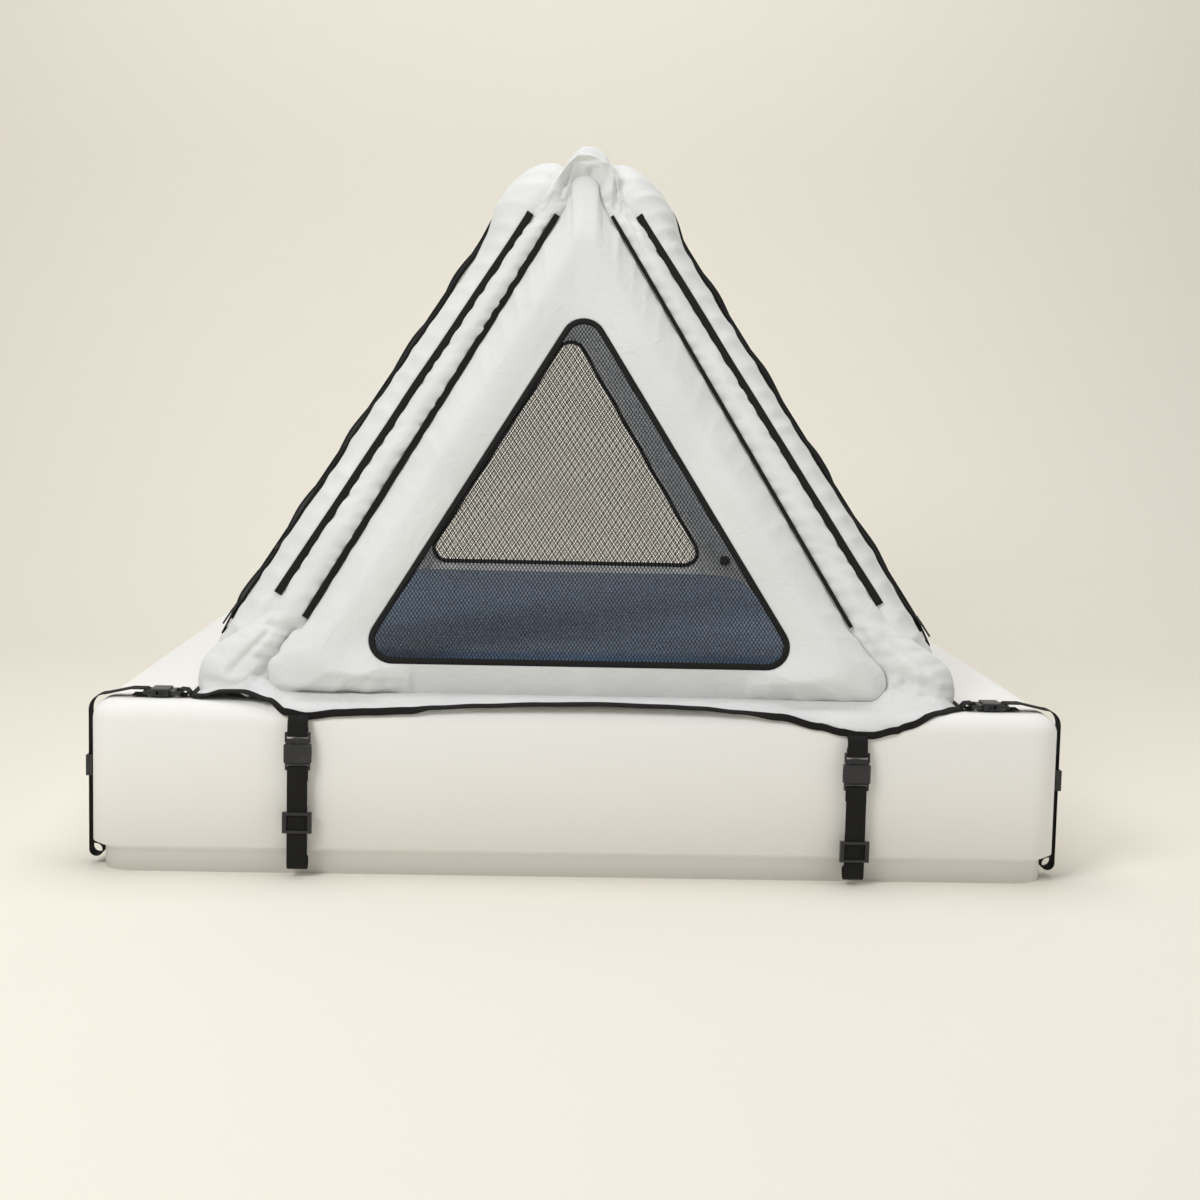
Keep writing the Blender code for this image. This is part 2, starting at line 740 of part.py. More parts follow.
GUSSET_ROWS = (0.008, 0.07, 0.16, 0.27, 0.39, 0.51, 0.63, 0.72, GUSSET_TOP)


def add_corner_gusset(name, end_panel, end_side, side_panel, side_side, finish):
    """The strip from the end sleeve's edge to the side sleeve's edge, with a zip tape over each edge."""
    clear = GUSSET_THICKNESS / 2 + GAP
    rows = []
    for height in GUSSET_ROWS:
        u, v = END.edge_at(height)
        end_edge = end_panel.point(u * end_side, v)
        end_out = end_panel.across * end_side
        u, v = SIDE.edge_at(height)
        side_edge = side_panel.point(u * side_side, v)
        side_out = side_panel.across * side_side
        bulge = (end_panel.out + side_out).normalized()
        middle = (end_edge + side_edge) / 2 + bulge * GUSSET_BULGE
        rows.append([
            end_edge + end_out * clear + end_panel.out * (TAPE_HALF + 0.003),
            end_edge + end_out * clear - end_panel.out * 0.002,
            between(end_edge, middle, 0.55) + bulge * 0.004,
            middle,
            between(side_edge, middle, 0.50) + bulge * 0.005,
            side_edge + side_out * clear - side_panel.out * 0.002,
            side_edge + side_out * clear + side_panel.out * (TAPE_HALF + 0.001),
        ])
    add_object(name, thicken(rows, GUSSET_THICKNESS), finish)


# The ridge gusset's middle line as (distance from the end of its hood, height), then its half width
ROOF_HOOD = (
    (0.013, 0.800, 0.022),
    (0.013, 0.860, 0.026),
    (-0.010, 0.907, 0.034),
    (0.004, ROOF_LUMP_HEIGHT, 0.046),
    (0.045, 0.915, 0.062),
    (0.110, 0.0, 0.078),
)
ROOF_SHARES = (-1.0, -0.68, -0.34, 0.0, 0.34, 0.68, 1.0)
ROOF_RISE = {1.0: -0.0018, 0.68: 0.0068, 0.34: 0.0050, 0.0: -0.002}


def add_ridge_gusset(finish):
    """The strip over the ridge, with a gathered hood at each end behind the tongue."""
    end = END_BASE - TONGUE_HEIGHT * math.tan(END_LEAN)
    half_rows = []
    for inward, height, half in ROOF_HOOD:
        row = []
        for share in ROOF_SHARES:
            if height:
                z = height - abs(share) ** 2 * 0.010
            else:
                z = RIDGE_HEIGHT + ROOF_RISE[abs(share)]
            row.append(Vector((share * half, -(end - inward), z)))
        half_rows.append(row)
    flat = [
        Vector((share * ROOF_HOOD[-1][2] * 1.1, -0.2, RIDGE_HEIGHT + ROOF_RISE[abs(share)]))
        for share in ROOF_SHARES
    ]
    half_rows.append(flat)
    mirrored = [[Vector((p.x, -p.y, p.z)) for p in row] for row in reversed(half_rows)]
    rows = half_rows + mirrored
    add_object("ridge_gusset", thicken(rows, GUSSET_THICKNESS), finish)


def hem_corners():
    right = [(HEM_END_HALF, -HEM_HALF_LENGTH), (HEM_HALF_WIDTH, -HEM_SIDE_HALF),
             (HEM_HALF_WIDTH, HEM_SIDE_HALF), (HEM_END_HALF, HEM_HALF_LENGTH)]
    return right + [(-x, y) for x, y in reversed(right)]


def hem_outline(extra):
    corners = inset(hem_corners(), [-extra] * 8)
    return outline(corners, [HEM_CORNER_RADIUS + extra] * 8, [2] * 8, [1] * 8)


def add_ground_sheet(finish):
    low = [Vector((p.x, p.y, 0.0)) for p in hem_outline(0.0)]
    high = [Vector((p.x, p.y, SHEET_THICKNESS)) for p in hem_outline(0.0)]
    add_object("ground_sheet", loft([low, high]), finish, smooth=False)


def ribbon(path, origin, outward, width, thickness):
    """Webbing along a path of (distance outwards, height) points, as a closed strip."""
    across = outward.cross(Vector((0.0, 0.0, 1.0))).normalized()
    points = [Vector(p) for p in path]
    rings = []
    for i, point in enumerate(points):
        arms = []
        if i > 0:
            arms.append((point - points[i - 1]).normalized())
        if i < len(points) - 1:
            arms.append((points[i + 1] - point).normalized())
        along = sum(arms, Vector((0.0, 0.0))).normalized()
        normal = Vector((-along.y, along.x))
        reach = thickness / 2 / max(0.5, normal.dot(Vector((-arms[0].y, arms[0].x))))
        ring = []
        for side, level in ((-1, -1), (1, -1), (1, 1), (-1, 1)):
            flat = point + normal * reach * level
            ring.append(origin + outward * flat.x + Vector((0.0, 0.0, flat.y)) + across * side * width / 2)
        rings.append(ring)
    return loft(rings)


def arc(centre, radius, start, end, steps):
    """Points on an arc in the (outwards, height) plane, in degrees."""
    run = []
    for k in range(steps + 1):
        angle = math.radians(start + (end - start) * k / steps)
        run.append((centre[0] + radius * math.cos(angle), centre[1] + radius * math.sin(angle)))
    return run


class Strap:
    """One tie-down: where its hem is, which way it runs, and its webbing's path."""

    def __init__(self, name):
        self.name = name
        self.reach, self.glide, self.bottom = STRAPS[name]
        edge, corner = name.split("_")
        self.hangs = edge in ("foot", "head")
        sign = {"foot": -1, "left": -1, "head": 1, "right": 1}
        if self.hangs:
            self.outward = Vector((0.0, sign[edge], 0.0))
            self.hem = Vector((sign[corner] * END_STRAP_AT, sign[edge] * HEM_HALF_LENGTH, 0.0))
            self.bar = (STRAP_STANDOFF, -self.reach)
            self.along = Vector((0.0, 0.0, -1.0))
            self.face = self.outward
        else:
            self.outward = Vector((sign[edge], 0.0, 0.0))
            self.hem = Vector((sign[edge] * HEM_HALF_WIDTH, sign[corner] * SIDE_STRAP_AT, 0.0))
            self.bar = (self.reach, STRAP_REST)
            self.along = self.outward
            self.face = Vector((0.0, 0.0, 1.0))

    def place(self, flat):
        return self.hem + self.outward * flat[0] + Vector((0.0, 0.0, flat[1]))

    def frame(self):
        wide = self.along.cross(self.face)
        made = Matrix((wide, self.along, self.face)).transposed().to_4x4()
        made.translation = self.place(self.bar)
        return made

    def glide_frame(self):
        down = Vector((0.0, 0.0, -1.0))
        wide = down.cross(self.outward)
        made = Matrix((wide, down, self.outward)).transposed().to_4x4()
        made.translation = self.place((self.ply() - LOOP_RADIUS, -self.glide))
        return made

    def ply(self):
        """How far out the main ply hangs down the side of the bed."""
        if self.hangs:
            return self.bar[0] + LOOP_RADIUS
        return BED_EDGE + 0.020

    def tab_path(self):
        """From the hem binding, over the prong half's bar and back."""
        s, z = self.bar
        start = [(0.0015, 0.0030), (0.0100, 0.0034)]
        if self.hangs:
            front = s + LOOP_RADIUS
            start += [(front - 0.004, -0.001), (front, -0.010)]
            return start + arc(self.bar, LOOP_RADIUS, 0, -180, 6) + [(s - LOOP_RADIUS, z + 0.016)]
        return [(0.0015, 0.0030), (0.0060, z + LOOP_RADIUS * 0.8)] + arc(self.bar, LOOP_RADIUS, 90, -90, 6) + [
            (s - 0.010, z - LOOP_RADIUS)]

    def web_path(self):
        """Round the body's bar, down to the rail, round it, and up behind itself to the tri-glide."""
        ply = self.ply()
        tail = 0.020
        if self.hangs:
            bar = (self.bar[0], self.bar[1] - BODY_BAR)
            path = [(bar[0] - LOOP_RADIUS, bar[1] - tail)] + arc(bar, LOOP_RADIUS, 180, 0, 6)
        else:
            bar = (self.bar[0] + BODY_BAR, self.bar[1])
            path = [(bar[0] + tail, bar[1] - LOOP_RADIUS)] + arc(bar, LOOP_RADIUS, 270, 90, 6)
            path += [(bar[0] + 0.022, bar[1] + LOOP_RADIUS)]
            path += arc((ply - 0.026, -0.022), 0.026, 90, 0, 4)
        rail = (ply - RAIL_RADIUS, -self.bottom)
        path += arc(rail, RAIL_RADIUS, 0, -270, 9)
        back = ply - PLY_STEP
        rise = -self.bottom + RAIL_RADIUS
        path += [(ply - 0.0062, rise + 0.0006), (back - 0.0008, rise + 0.0030), (back, rise + 0.0058)]
        path += [(back, -self.glide + GLIDE_LENGTH / 2 + 0.010)]
        return path


BODY_LOW, BODY_MOUTH = 0.0470, 0.0165
BODY_SLOT = (0.0495, 0.0545)
BODY_END = 0.0580
BODY_BAR = (BODY_SLOT[1] + BODY_END) / 2
PRONG_SLOT = (BAR_HALF, 0.0085)


def rectangle(half, low, high):
    return [(-half, low), (half, low), (half, high), (-half, high)]


def prong_mesh(finish):
    """The half with two spring arms and a guide between them, and the bar that the hem's tab goes round."""
    root, arm_end, guide_end = 0.0135, 0.0420, 0.0360
    lug = 0.0200
    right = [(lug, -BAR_HALF), (lug, root), (0.0176, root + 0.0022), (0.0182, 0.034), (0.0150, arm_end),
             (0.0118, 0.0395), (0.0128, root + 0.004), (0.0040, root + 0.001), (0.0030, guide_end)]
    outer = right + [(-x, y) for x, y in reversed(right)]
    hole = rectangle(SLOT_HALF, *PRONG_SLOT)
    bm = plate(outer, [hole], -PRONG_THICKNESS / 2, PRONG_THICKNESS / 2)
    return combine("buckle_prongs", bm, [], finish)


def body_mesh(finish):
    """The half that the prongs snap into: a pocket with a window each side, and a slotted tail."""
    half = BUCKLE_THICKNESS / 2
    pocket = POCKET_THICKNESS / 2
    tail = plate(rectangle(BUCKLE_HALF - 0.002, BODY_LOW - 0.004, BODY_END),
                 [rectangle(SLOT_HALF, *BODY_SLOT)], -PRONG_THICKNESS / 2, PRONG_THICKNESS / 2)
    steps = [
        ("DIFFERENCE", box((-POCKET_HALF, BODY_MOUTH - 0.01, -pocket), (POCKET_HALF, 0.0435, pocket))),
        ("DIFFERENCE", box((-0.03, 0.0250, -pocket + 0.0004), (0.03, 0.0370, pocket - 0.0004))),
        ("UNION", tail),
    ]
    start = box((-BUCKLE_HALF, BODY_MOUTH, -half), (BUCKLE_HALF, BODY_LOW, half))
    return combine("buckle_body", start, steps, finish, bevel=0.0016)


def glide_mesh(finish):
    """A ladder frame: two bars in front of the webbing and one behind it."""
    half = GLIDE_LENGTH / 2
    plies = (LOOP_RADIUS - PLY_STEP - WEB_THICKNESS / 2 - GAP, LOOP_RADIUS + WEB_THICKNESS / 2 + GAP)
    low, high = plies[0] - 0.0022, plies[1] + 0.0026
    inside = SLOT_HALF - 0.0004
    steps = [
        ("DIFFERENCE", box((-inside, -half - 0.01, plies[0]), (inside, half + 0.01, plies[1]))),
        ("DIFFERENCE", box((-inside, -half + 0.0045, plies[1] - 0.001), (inside, half - 0.0045, high + 0.01))),
        ("DIFFERENCE", box((-inside, 0.0025, low - 0.01), (inside, half + 0.01, plies[0] + 0.001))),
        ("DIFFERENCE", box((-inside, -half - 0.01, low - 0.01), (inside, -0.0025, plies[0] + 0.001))),
    ]
    return combine("tri_glide", box((-GLIDE_HALF, -half, low), (GLIDE_HALF, half, high)), steps, finish)


def add_hem_binding(finish):
    """The black binding round the ground sheet's edge, with a sewn webbing tab for each strap."""
    section = ((GAP, 0.0), (HEM_OUT, 0.0), (HEM_OUT, HEM_RISE), (-HEM_LIP, HEM_RISE),
               (-HEM_LIP, SHEET_THICKNESS + GAP), (GAP, SHEET_THICKNESS + GAP))
    sides = [hem_outline(extra) for extra, _ in section]
    rings = []
    for i in range(len(sides[0])):
        rings.append([Vector((run[i].x, run[i].y, z)) for run, (_, z) in zip(sides, section)])
    binding = add_object("hem_binding", loft(rings, closed=True), finish)
    for name in STRAPS:
        strap = Strap(name)
        bm = ribbon(strap.tab_path(), strap.hem, strap.outward, WEB_WIDTH, WEB_THICKNESS)
        tab = add_object("tab_" + name, bm, finish, smooth=False)
        tab.hide_render = True
        tab.display_type = "WIRE"
        sewn = binding.modifiers.new("tab_" + name, "BOOLEAN")
        sewn.operation = "UNION"
        sewn.object = tab


def add_straps(web_finish, plastic):
    prongs = prong_mesh(plastic)
    body = body_mesh(plastic)
    glide = glide_mesh(plastic)
    for name in STRAPS:
        strap = Strap(name)
        link_copy("buckle_prongs_" + name, prongs, strap.frame())
        link_copy("buckle_body_" + name, body, strap.frame())
        link_copy("tri_glide_" + name, glide, strap.glide_frame())
        bm = ribbon(strap.web_path(), strap.hem, strap.outward, WEB_WIDTH, WEB_THICKNESS)
        add_object("strap_" + name, bm, web_finish, smooth=False)


def add_mat(finish):
    """The sleeping mat: crowned on top, drawn in between its corners, flat underneath."""
    low = SHEET_THICKNESS + GAP
    corners = [(MAT_HALF_WIDTH, -MAT_HALF_LENGTH), (MAT_HALF_WIDTH, MAT_HALF_LENGTH),
               (-MAT_HALF_WIDTH, MAT_HALF_LENGTH), (-MAT_HALF_WIDTH, -MAT_HALF_LENGTH)]
    # Share of the half width taken off at each level, then the level's height
    levels = ((0.020, 0.0), (0.004, 0.22), (0.0, 0.5), (0.010, 0.82), (0.040, 1.0))
    rings = []
    for take, rise in levels:
        run = outline(inset(corners, [take] * 4), [MAT_CORNER_RADIUS] * 4, [3] * 4, [4, 3, 4, 3])
        rings.append([Vector((p.x, p.y, low + MAT_HEIGHT * rise)) for p in run])
    top = rings[-1]
    for share in (0.75, 0.45):
        crown = MAT_HEIGHT + MAT_CROWN * (1 - share * share)
        rings.append([Vector((p.x * share, p.y * share, low + crown)) for p in top])
    add_object("sleeping_mat", loft(rings), finish)


def build():
    clear_scene()
    shell = material("light grey shell fabric", (0.75, 0.76, 0.75), 0.75)
    sheet = material("light grey ground sheet", (0.70, 0.71, 0.71), 0.80)
    film = material("clear grey air beam film", (0.62, 0.66, 0.70), 0.30)
    mesh = material("black mesh", (0.03, 0.03, 0.03), 0.85)
    tape = material("black webbing and binding", (0.02, 0.02, 0.02), 0.80)
    plastic = material("black moulded plastic", (0.02, 0.02, 0.022), 0.35)
    blue = material("blue mat fabric", (0.06, 0.13, 0.25), 0.85)
    for name, (shape, panel) in PANELS.items():
        add_sleeve(name, shape, panel, shell)
        add_beam(name, shape, panel, film, plastic)
    for name in ("front", "rear"):
        add_window(name + "_window", END, PANELS[name][1], mesh)
    slider = slider_mesh(plastic)
    # The leg nearest the foot end lies at +u on the left panel and at -u on the right one
    for name, foot_side in (("left", 1), ("right", -1)):
        panel = PANELS[name][1]
        add_zip(name + "_door_zip", SIDE, panel, tape)
        add_door(name + "_door", SIDE, panel, mesh)
        add_slider(name + "_zip_slider", SIDE, panel, foot_side, slider)
    for end, side, end_side, side_side in (
        ("front", "right", 1, -1), ("front", "left", -1, 1), ("rear", "left", 1, -1), ("rear", "right", -1, 1),
    ):
        add_corner_gusset(f"{end}_{side}_gusset", PANELS[end][1], end_side, PANELS[side][1], side_side, shell)
    add_ridge_gusset(shell)
    add_ground_sheet(sheet)
    add_hem_binding(tape)
    add_mat(blue)
    add_straps(tape, plastic)


build()
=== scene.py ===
# %% [markdown]
# # An inflatable travel bed
# Four fabric frames, each held out by an air beam, lean together over a ground sheet. Corner strips and a
# ridge piece close the gaps, nets fill the frames, and eight straps tie the sheet down to the bed.
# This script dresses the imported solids. Each cell first says what a piece is and why it is made this way.

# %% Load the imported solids
import math

import bpy
from mathutils import Matrix, Vector, noise


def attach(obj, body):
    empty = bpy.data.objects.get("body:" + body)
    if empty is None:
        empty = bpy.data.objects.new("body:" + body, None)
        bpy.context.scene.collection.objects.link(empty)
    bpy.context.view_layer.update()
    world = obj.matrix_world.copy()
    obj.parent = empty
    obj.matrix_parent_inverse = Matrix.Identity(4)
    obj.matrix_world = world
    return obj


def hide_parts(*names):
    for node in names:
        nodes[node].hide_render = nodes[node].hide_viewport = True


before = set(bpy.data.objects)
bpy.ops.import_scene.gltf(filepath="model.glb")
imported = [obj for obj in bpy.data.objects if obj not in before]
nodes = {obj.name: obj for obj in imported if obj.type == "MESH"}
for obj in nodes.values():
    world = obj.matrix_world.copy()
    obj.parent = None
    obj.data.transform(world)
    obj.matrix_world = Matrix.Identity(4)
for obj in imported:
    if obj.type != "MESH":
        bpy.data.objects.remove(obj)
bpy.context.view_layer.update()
print("solids loaded:", len(nodes))

# %% [markdown]
# ## Sizes
# Every size is in metres. X runs across the bed, Y from the foot end to the head end, Z is up.
# They repeat the sizes that the solids were made with, so that cloth lands on what carries it.

# %% Sizes of the frames
END_BASE = 0.921
END_LEAN = math.radians(21.0)
END_BAND = 0.106
END_SILL = 0.048
END_LIFT = 0.005
END_FOOT_END = 0.268
END_SEAT = 0.044
SHOULDER = (0.051, 0.790 / math.cos(END_LEAN))
WINDOW_BASE_IN = 0.002
WINDOW_LEAN_IN = 1.0388
SIDE_BASE = 0.590
RIDGE_HEIGHT = 0.894
RIDGE_HALF_GAP = 0.033
SIDE_BAND = 0.110
SIDE_SILL = 0.058
SIDE_LIFT = 0.010
SIDE_SETBACK = 0.004
SIDE_FOOT_END = 0.550
SIDE_SEAT = 0.044
CORNER_SPACE = 0.073
SIDE_LEAN = math.atan((SIDE_BASE - RIDGE_HALF_GAP) / RIDGE_HEIGHT)
RIDGE_V = RIDGE_HEIGHT / math.cos(SIDE_LEAN)
SWELL_OUT = 0.033
SWELL_IN = 0.058
SINGLE_LAYER = 0.004
FOOT_TAPER = 0.055
SIDE_FACE = 0.046
TURN_PUFF = 0.021
FLOOR_CLEARANCE = 0.0025

# %% Sizes of the openings, the sheet and the straps
BINDING_WIDTH = 0.010
ZIP_OVERLAP = 0.012
ZIP_WIDTH = 0.014
DOOR_HEM_CLEARANCE = 0.0045
HEM_HALF_LENGTH = 1.000
HEM_HALF_WIDTH = 0.620
HEM_END_HALF = 0.462
HEM_SIDE_HALF = 0.950
WEB_WIDTH = 0.032
WEB_THICKNESS = 0.0016
END_STRAP_AT = 0.440
SIDE_STRAP_AT = 0.930
LOOP_RADIUS = 0.0048
RAIL_RADIUS = 0.0105
PLY_STEP = 0.0026
GLIDE_LENGTH = 0.033
BODY_BAR = 0.05625
STRAPS = {
    "foot_left": (0.042, 0.183, 0.248),
    "foot_right": (0.060, 0.216, 0.252),
    "head_left": (0.046, 0.196, 0.248),
    "head_right": (0.046, 0.196, 0.248),
    "left_foot": (0.016, 0.110, 0.248),
    "left_head": (0.016, 0.110, 0.248),
    "right_foot": (0.016, 0.110, 0.248),
    "right_head": (0.016, 0.110, 0.248),
}

# %% [markdown]
# ## A small kit for shader graphs
# Building a graph by hand takes many lines, so one helper adds a node, sets it up and links its inputs.
# An input may be a number, a colour or another node's output.


# %% Helper for shader graphs
class Graph:
    """Adds nodes to a tree and links them, so that a material reads from top to bottom."""

    def __init__(self, tree):
        self.tree = tree

    def add(self, kind, inputs=(), **settings):
        node = self.tree.nodes.new(kind)
        for key, value in settings.items():
            setattr(node, key, value)
        for key, value in dict(inputs).items():
            self.put(node.inputs[key], value)
        return node

    def put(self, socket, value):
        if isinstance(value, bpy.types.NodeSocket):
            self.tree.links.new(value, socket)
        elif isinstance(value, bpy.types.Node):
            self.tree.links.new(value.outputs[0], socket)
        else:
            socket.default_value = value

    def math(self, operation, a, b=0.0, c=0.0):
        return self.add("ShaderNodeMath", {0: a, 1: b, 2: c}, operation=operation).outputs[0]

    def noise(self, vector, scale, detail=2.0, rough=0.5, distort=0.0):
        sockets = {"Vector": vector, "Scale": scale, "Detail": detail, "Roughness": rough,
                   "Distortion": distort}
        return self.add("ShaderNodeTexNoise", sockets).outputs["Fac"]

    def remap(self, value, low, high, new_low=0.0, new_high=1.0):
        sockets = {0: value, 1: low, 2: high, 3: new_low, 4: new_high}
        return self.add("ShaderNodeMapRange", sockets).outputs[0]

    def mix(self, share, a, b):
        node = self.add("ShaderNodeMix", data_type="RGBA")
        self.put(node.inputs["Factor"], share)
        self.put(node.inputs["A"], a)
        self.put(node.inputs["B"], b)
        return node.outputs["Result"]

    def bump(self, height, distance, strength=1.0, normal=None):
        node = self.add("ShaderNodeBump", {"Height": height, "Distance": distance, "Strength": strength})
        if normal is not None:
            self.put(node.inputs["Normal"], normal)
        return node.outputs["Normal"]


def shader_group(name, inputs, outputs):
    """A node group with its sockets made, as a graph with its two ends."""
    tree = bpy.data.node_groups.new(name, "ShaderNodeTree")
    for label, kind, value in inputs:
        socket = tree.interface.new_socket(label, in_out="INPUT", socket_type=kind)
        if value is not None:
            socket.default_value = value
    for label, kind in outputs:
        tree.interface.new_socket(label, in_out="OUTPUT", socket_type=kind)
    graph = Graph(tree)
    return graph, graph.add("NodeGroupInput"), graph.add("NodeGroupOutput")


VECTOR, FLOAT = "NodeSocketVector", "NodeSocketFloat"

# %% [markdown]
# ## Shared effects
# Plain weave, the soft crumple of coated cloth, the open holes of net, the ribs of webbing and the fine grain
# of moulded plastic each appear in more than one finish, so each is a group with its sizes as inputs.

# %% Plain weave
weave, weave_in, weave_out = shader_group(
    "plain_weave",
    [("Vector", VECTOR, None), ("Threads per metre", FLOAT, 1400.0)],
    [("Height", FLOAT), ("Shade", FLOAT)],
)
apart = weave.add("ShaderNodeSeparateXYZ", {0: weave_in.outputs[0]})
turns = weave.math("MULTIPLY", weave_in.outputs[1], math.pi)
warp = weave.math("SINE", weave.math("MULTIPLY", apart.outputs[0], turns))
weft = weave.math("SINE", weave.math("MULTIPLY", apart.outputs[1], turns))
over = weave.math("MULTIPLY", warp, weft)
slub = weave.noise(weave_in.outputs[0], 260.0, 2.0)
height = weave.math("ADD", weave.remap(over, -1.0, 1.0), weave.math("MULTIPLY", slub, 0.6))
weave.put(weave_out.inputs["Height"], height)
# Shade is darker where the threads lie low: painted shade in the hollows of the weave, mixed with the slub's
# uneven yarn.
weave.put(weave_out.inputs["Shade"], weave.remap(height, 0.0, 1.6, 0.93, 1.0))

# %% Crumple of coated cloth
crumple, crumple_in, crumple_out = shader_group(
    "cloth_crumple",
    [("Vector", VECTOR, None), ("Scale", FLOAT, 9.0), ("Sharpness", FLOAT, 0.5)],
    [("Height", FLOAT), ("Tone", FLOAT)],
)
where = crumple_in.outputs[0]
broad = crumple.noise(where, crumple_in.outputs[1], 3.0, 0.45, 0.6)
fold_scale = crumple.math("MULTIPLY", crumple_in.outputs[1], 2.7)
folds = crumple.noise(where, fold_scale, 2.0, 0.5, 1.4)
crease = crumple.math("ABSOLUTE", crumple.math("SUBTRACT", folds, 0.5))
sharp = crumple.math("MULTIPLY", crease, crumple_in.outputs[2])
total = crumple.math("SUBTRACT", broad, sharp)
crumple.put(crumple_out.inputs["Height"], total)
crumple.put(crumple_out.inputs["Tone"], crumple.remap(broad, 0.35, 0.65))

# %% Net
# Holes stand in staggered rows. The mask is 1 on a thread and 0 in a hole. The height rounds the threads and
# sets their painted highlight.
net, net_in, net_out = shader_group(
    "net_holes",
    [("Vector", VECTOR, None), ("Across", FLOAT, 0.0059), ("Along", FLOAT, 0.0094),
     ("Hole across", FLOAT, 0.0021), ("Hole along", FLOAT, 0.0030)],
    [("Thread", FLOAT), ("Height", FLOAT)],
)
apart = net.add("ShaderNodeSeparateXYZ", {0: net_in.outputs[0]})
reaches = []
for shift in (0.0, 0.5):
    parts = []
    for axis, pitch, hole in ((0, 1, 3), (1, 2, 4)):
        cell = net.math("ADD", net.math("DIVIDE", apart.outputs[axis], net_in.outputs[pitch]), shift)
        off = net.math("ABSOLUTE", net.math("SUBTRACT", net.math("FRACT", cell), 0.5))
        away = net.math("DIVIDE", net.math("MULTIPLY", off, net_in.outputs[pitch]), net_in.outputs[hole])
        parts.append(net.math("POWER", away, 1.7))
    reaches.append(net.math("ADD", parts[0], parts[1]))
nearest = net.math("MINIMUM", reaches[0], reaches[1])
net.put(net_out.inputs["Thread"], net.math("GREATER_THAN", nearest, 1.0))
net.put(net_out.inputs["Height"], net.remap(nearest, 0.8, 2.2))

# %% Ribs of woven webbing
# Webbing has a herringbone of fine ribs along it and a little lint.
ribs, ribs_in, ribs_out = shader_group(
    "webbing_ribs",
    [("Vector", VECTOR, None), ("Pitch", FLOAT, 0.0016), ("Width", FLOAT, 0.032)],
    [("Height", FLOAT), ("Tone", FLOAT)],
)
apart = ribs.add("ShaderNodeSeparateXYZ", {0: ribs_in.outputs[0]})
across = ribs.math("DIVIDE", apart.outputs[0], ribs_in.outputs[1])
cord_rows = ribs.math("SINE", ribs.math("MULTIPLY", across, math.tau))
picks = ribs.math("SINE", ribs.math("MULTIPLY", apart.outputs[1], math.tau / 0.0011))
herring = ribs.math("MULTIPLY", picks, cord_rows)
height = ribs.math("ADD", ribs.math("MULTIPLY", cord_rows, 0.6), ribs.math("MULTIPLY", herring, 0.5))
lint = ribs.noise(ribs_in.outputs[0], 420.0, 3.0, 0.7)
ribs.put(ribs_out.inputs["Height"], height)
# The rib crowns are paler, which is a painted highlight. The lint is the webbing's own.
rib_crown_highlight = ribs.remap(height, -1.0, 1.0, 0.0, 0.6)
pale_lint = ribs.remap(lint, 0.5, 0.8, 0.0, 0.4)
ribs.put(ribs_out.inputs["Tone"], ribs.math("ADD", rib_crown_highlight, pale_lint))

# %% Grain and paler sharp edges of moulded plastic
grain, grain_in, grain_out = shader_group(
    "moulded_grain",
    [("Vector", VECTOR, None), ("Scale", FLOAT, 900.0)],
    [("Height", FLOAT), ("Rub", FLOAT)],
)
fine = grain.noise(grain_in.outputs[0], grain_in.outputs[1], 2.0, 0.6)
patch = grain.noise(grain_in.outputs[0], 60.0, 3.0, 0.6)
point = grain.add("ShaderNodeNewGeometry")
edge = grain.remap(point.outputs["Pointiness"], 0.52, 0.60)
grain.put(grain_out.inputs["Height"], fine)
grain.put(grain_out.inputs["Rub"], grain.math("MULTIPLY", edge, patch))

# %% [markdown]
# ## Finishes
# The shell is a pale grey coated polyester: matt, faintly creased, with a weave too fine to see from afar.
# The ground sheet is the same cloth a little cooler. Nets, tapes and webbing are black, the plastic is
# fine-grained black, and the mat is brushed blue cloth.


# %% Finish helpers
def start_material(name, roughness):
    made = bpy.data.materials.new(name)
    made.use_nodes = True
    graph = Graph(made.node_tree)
    shader = made.node_tree.nodes["Principled BSDF"]
    shader.inputs["Roughness"].default_value = roughness
    return made, graph, shader


def use_group(graph, kit, vector, **values):
    node = graph.add("ShaderNodeGroup", node_tree=kit.tree)
    graph.put(node.inputs["Vector"], vector)
    for key, value in values.items():
        graph.put(node.inputs[key.replace("_", " ").capitalize()], value)
    return node


def coordinates(graph):
    """Object coordinates, and the cloth's own flat coordinates in metres."""
    flat = graph.add("ShaderNodeUVMap", uv_map="cloth")
    return graph.add("ShaderNodeTexCoord").outputs["Object"], flat.outputs["UV"]


def shell_cloth(name, light, dark, scale, depth):
    made, graph, shader = start_material(name, 0.72)
    solid, flat = coordinates(graph)
    soft = use_group(graph, crumple, solid, Scale=scale, Sharpness=0.7)
    woven = use_group(graph, weave, flat)
    tone = graph.mix(soft.outputs["Tone"], (*dark, 1.0), (*light, 1.0))
    # The weave's Shade darkens the colour between the threads: painted shade.
    shade = graph.add("ShaderNodeCombineXYZ", {axis: woven.outputs["Shade"] for axis in (0, 1, 2)})
    weave_shaded_tone = graph.add("ShaderNodeMix", data_type="RGBA", blend_type="MULTIPLY")
    graph.put(weave_shaded_tone.inputs["Factor"], 1.0)
    graph.put(weave_shaded_tone.inputs["A"], tone)
    graph.put(weave_shaded_tone.inputs["B"], shade.outputs[0])
    graph.put(shader.inputs["Base Color"], weave_shaded_tone.outputs["Result"])
    folds = graph.bump(soft.outputs["Height"], depth)
    graph.put(shader.inputs["Normal"], graph.bump(woven.outputs["Height"], 0.00015, 0.5, folds))
    shader.inputs["Sheen Weight"].default_value = 0.08
    shader.inputs["Specular IOR Level"].default_value = 0.35
    return made


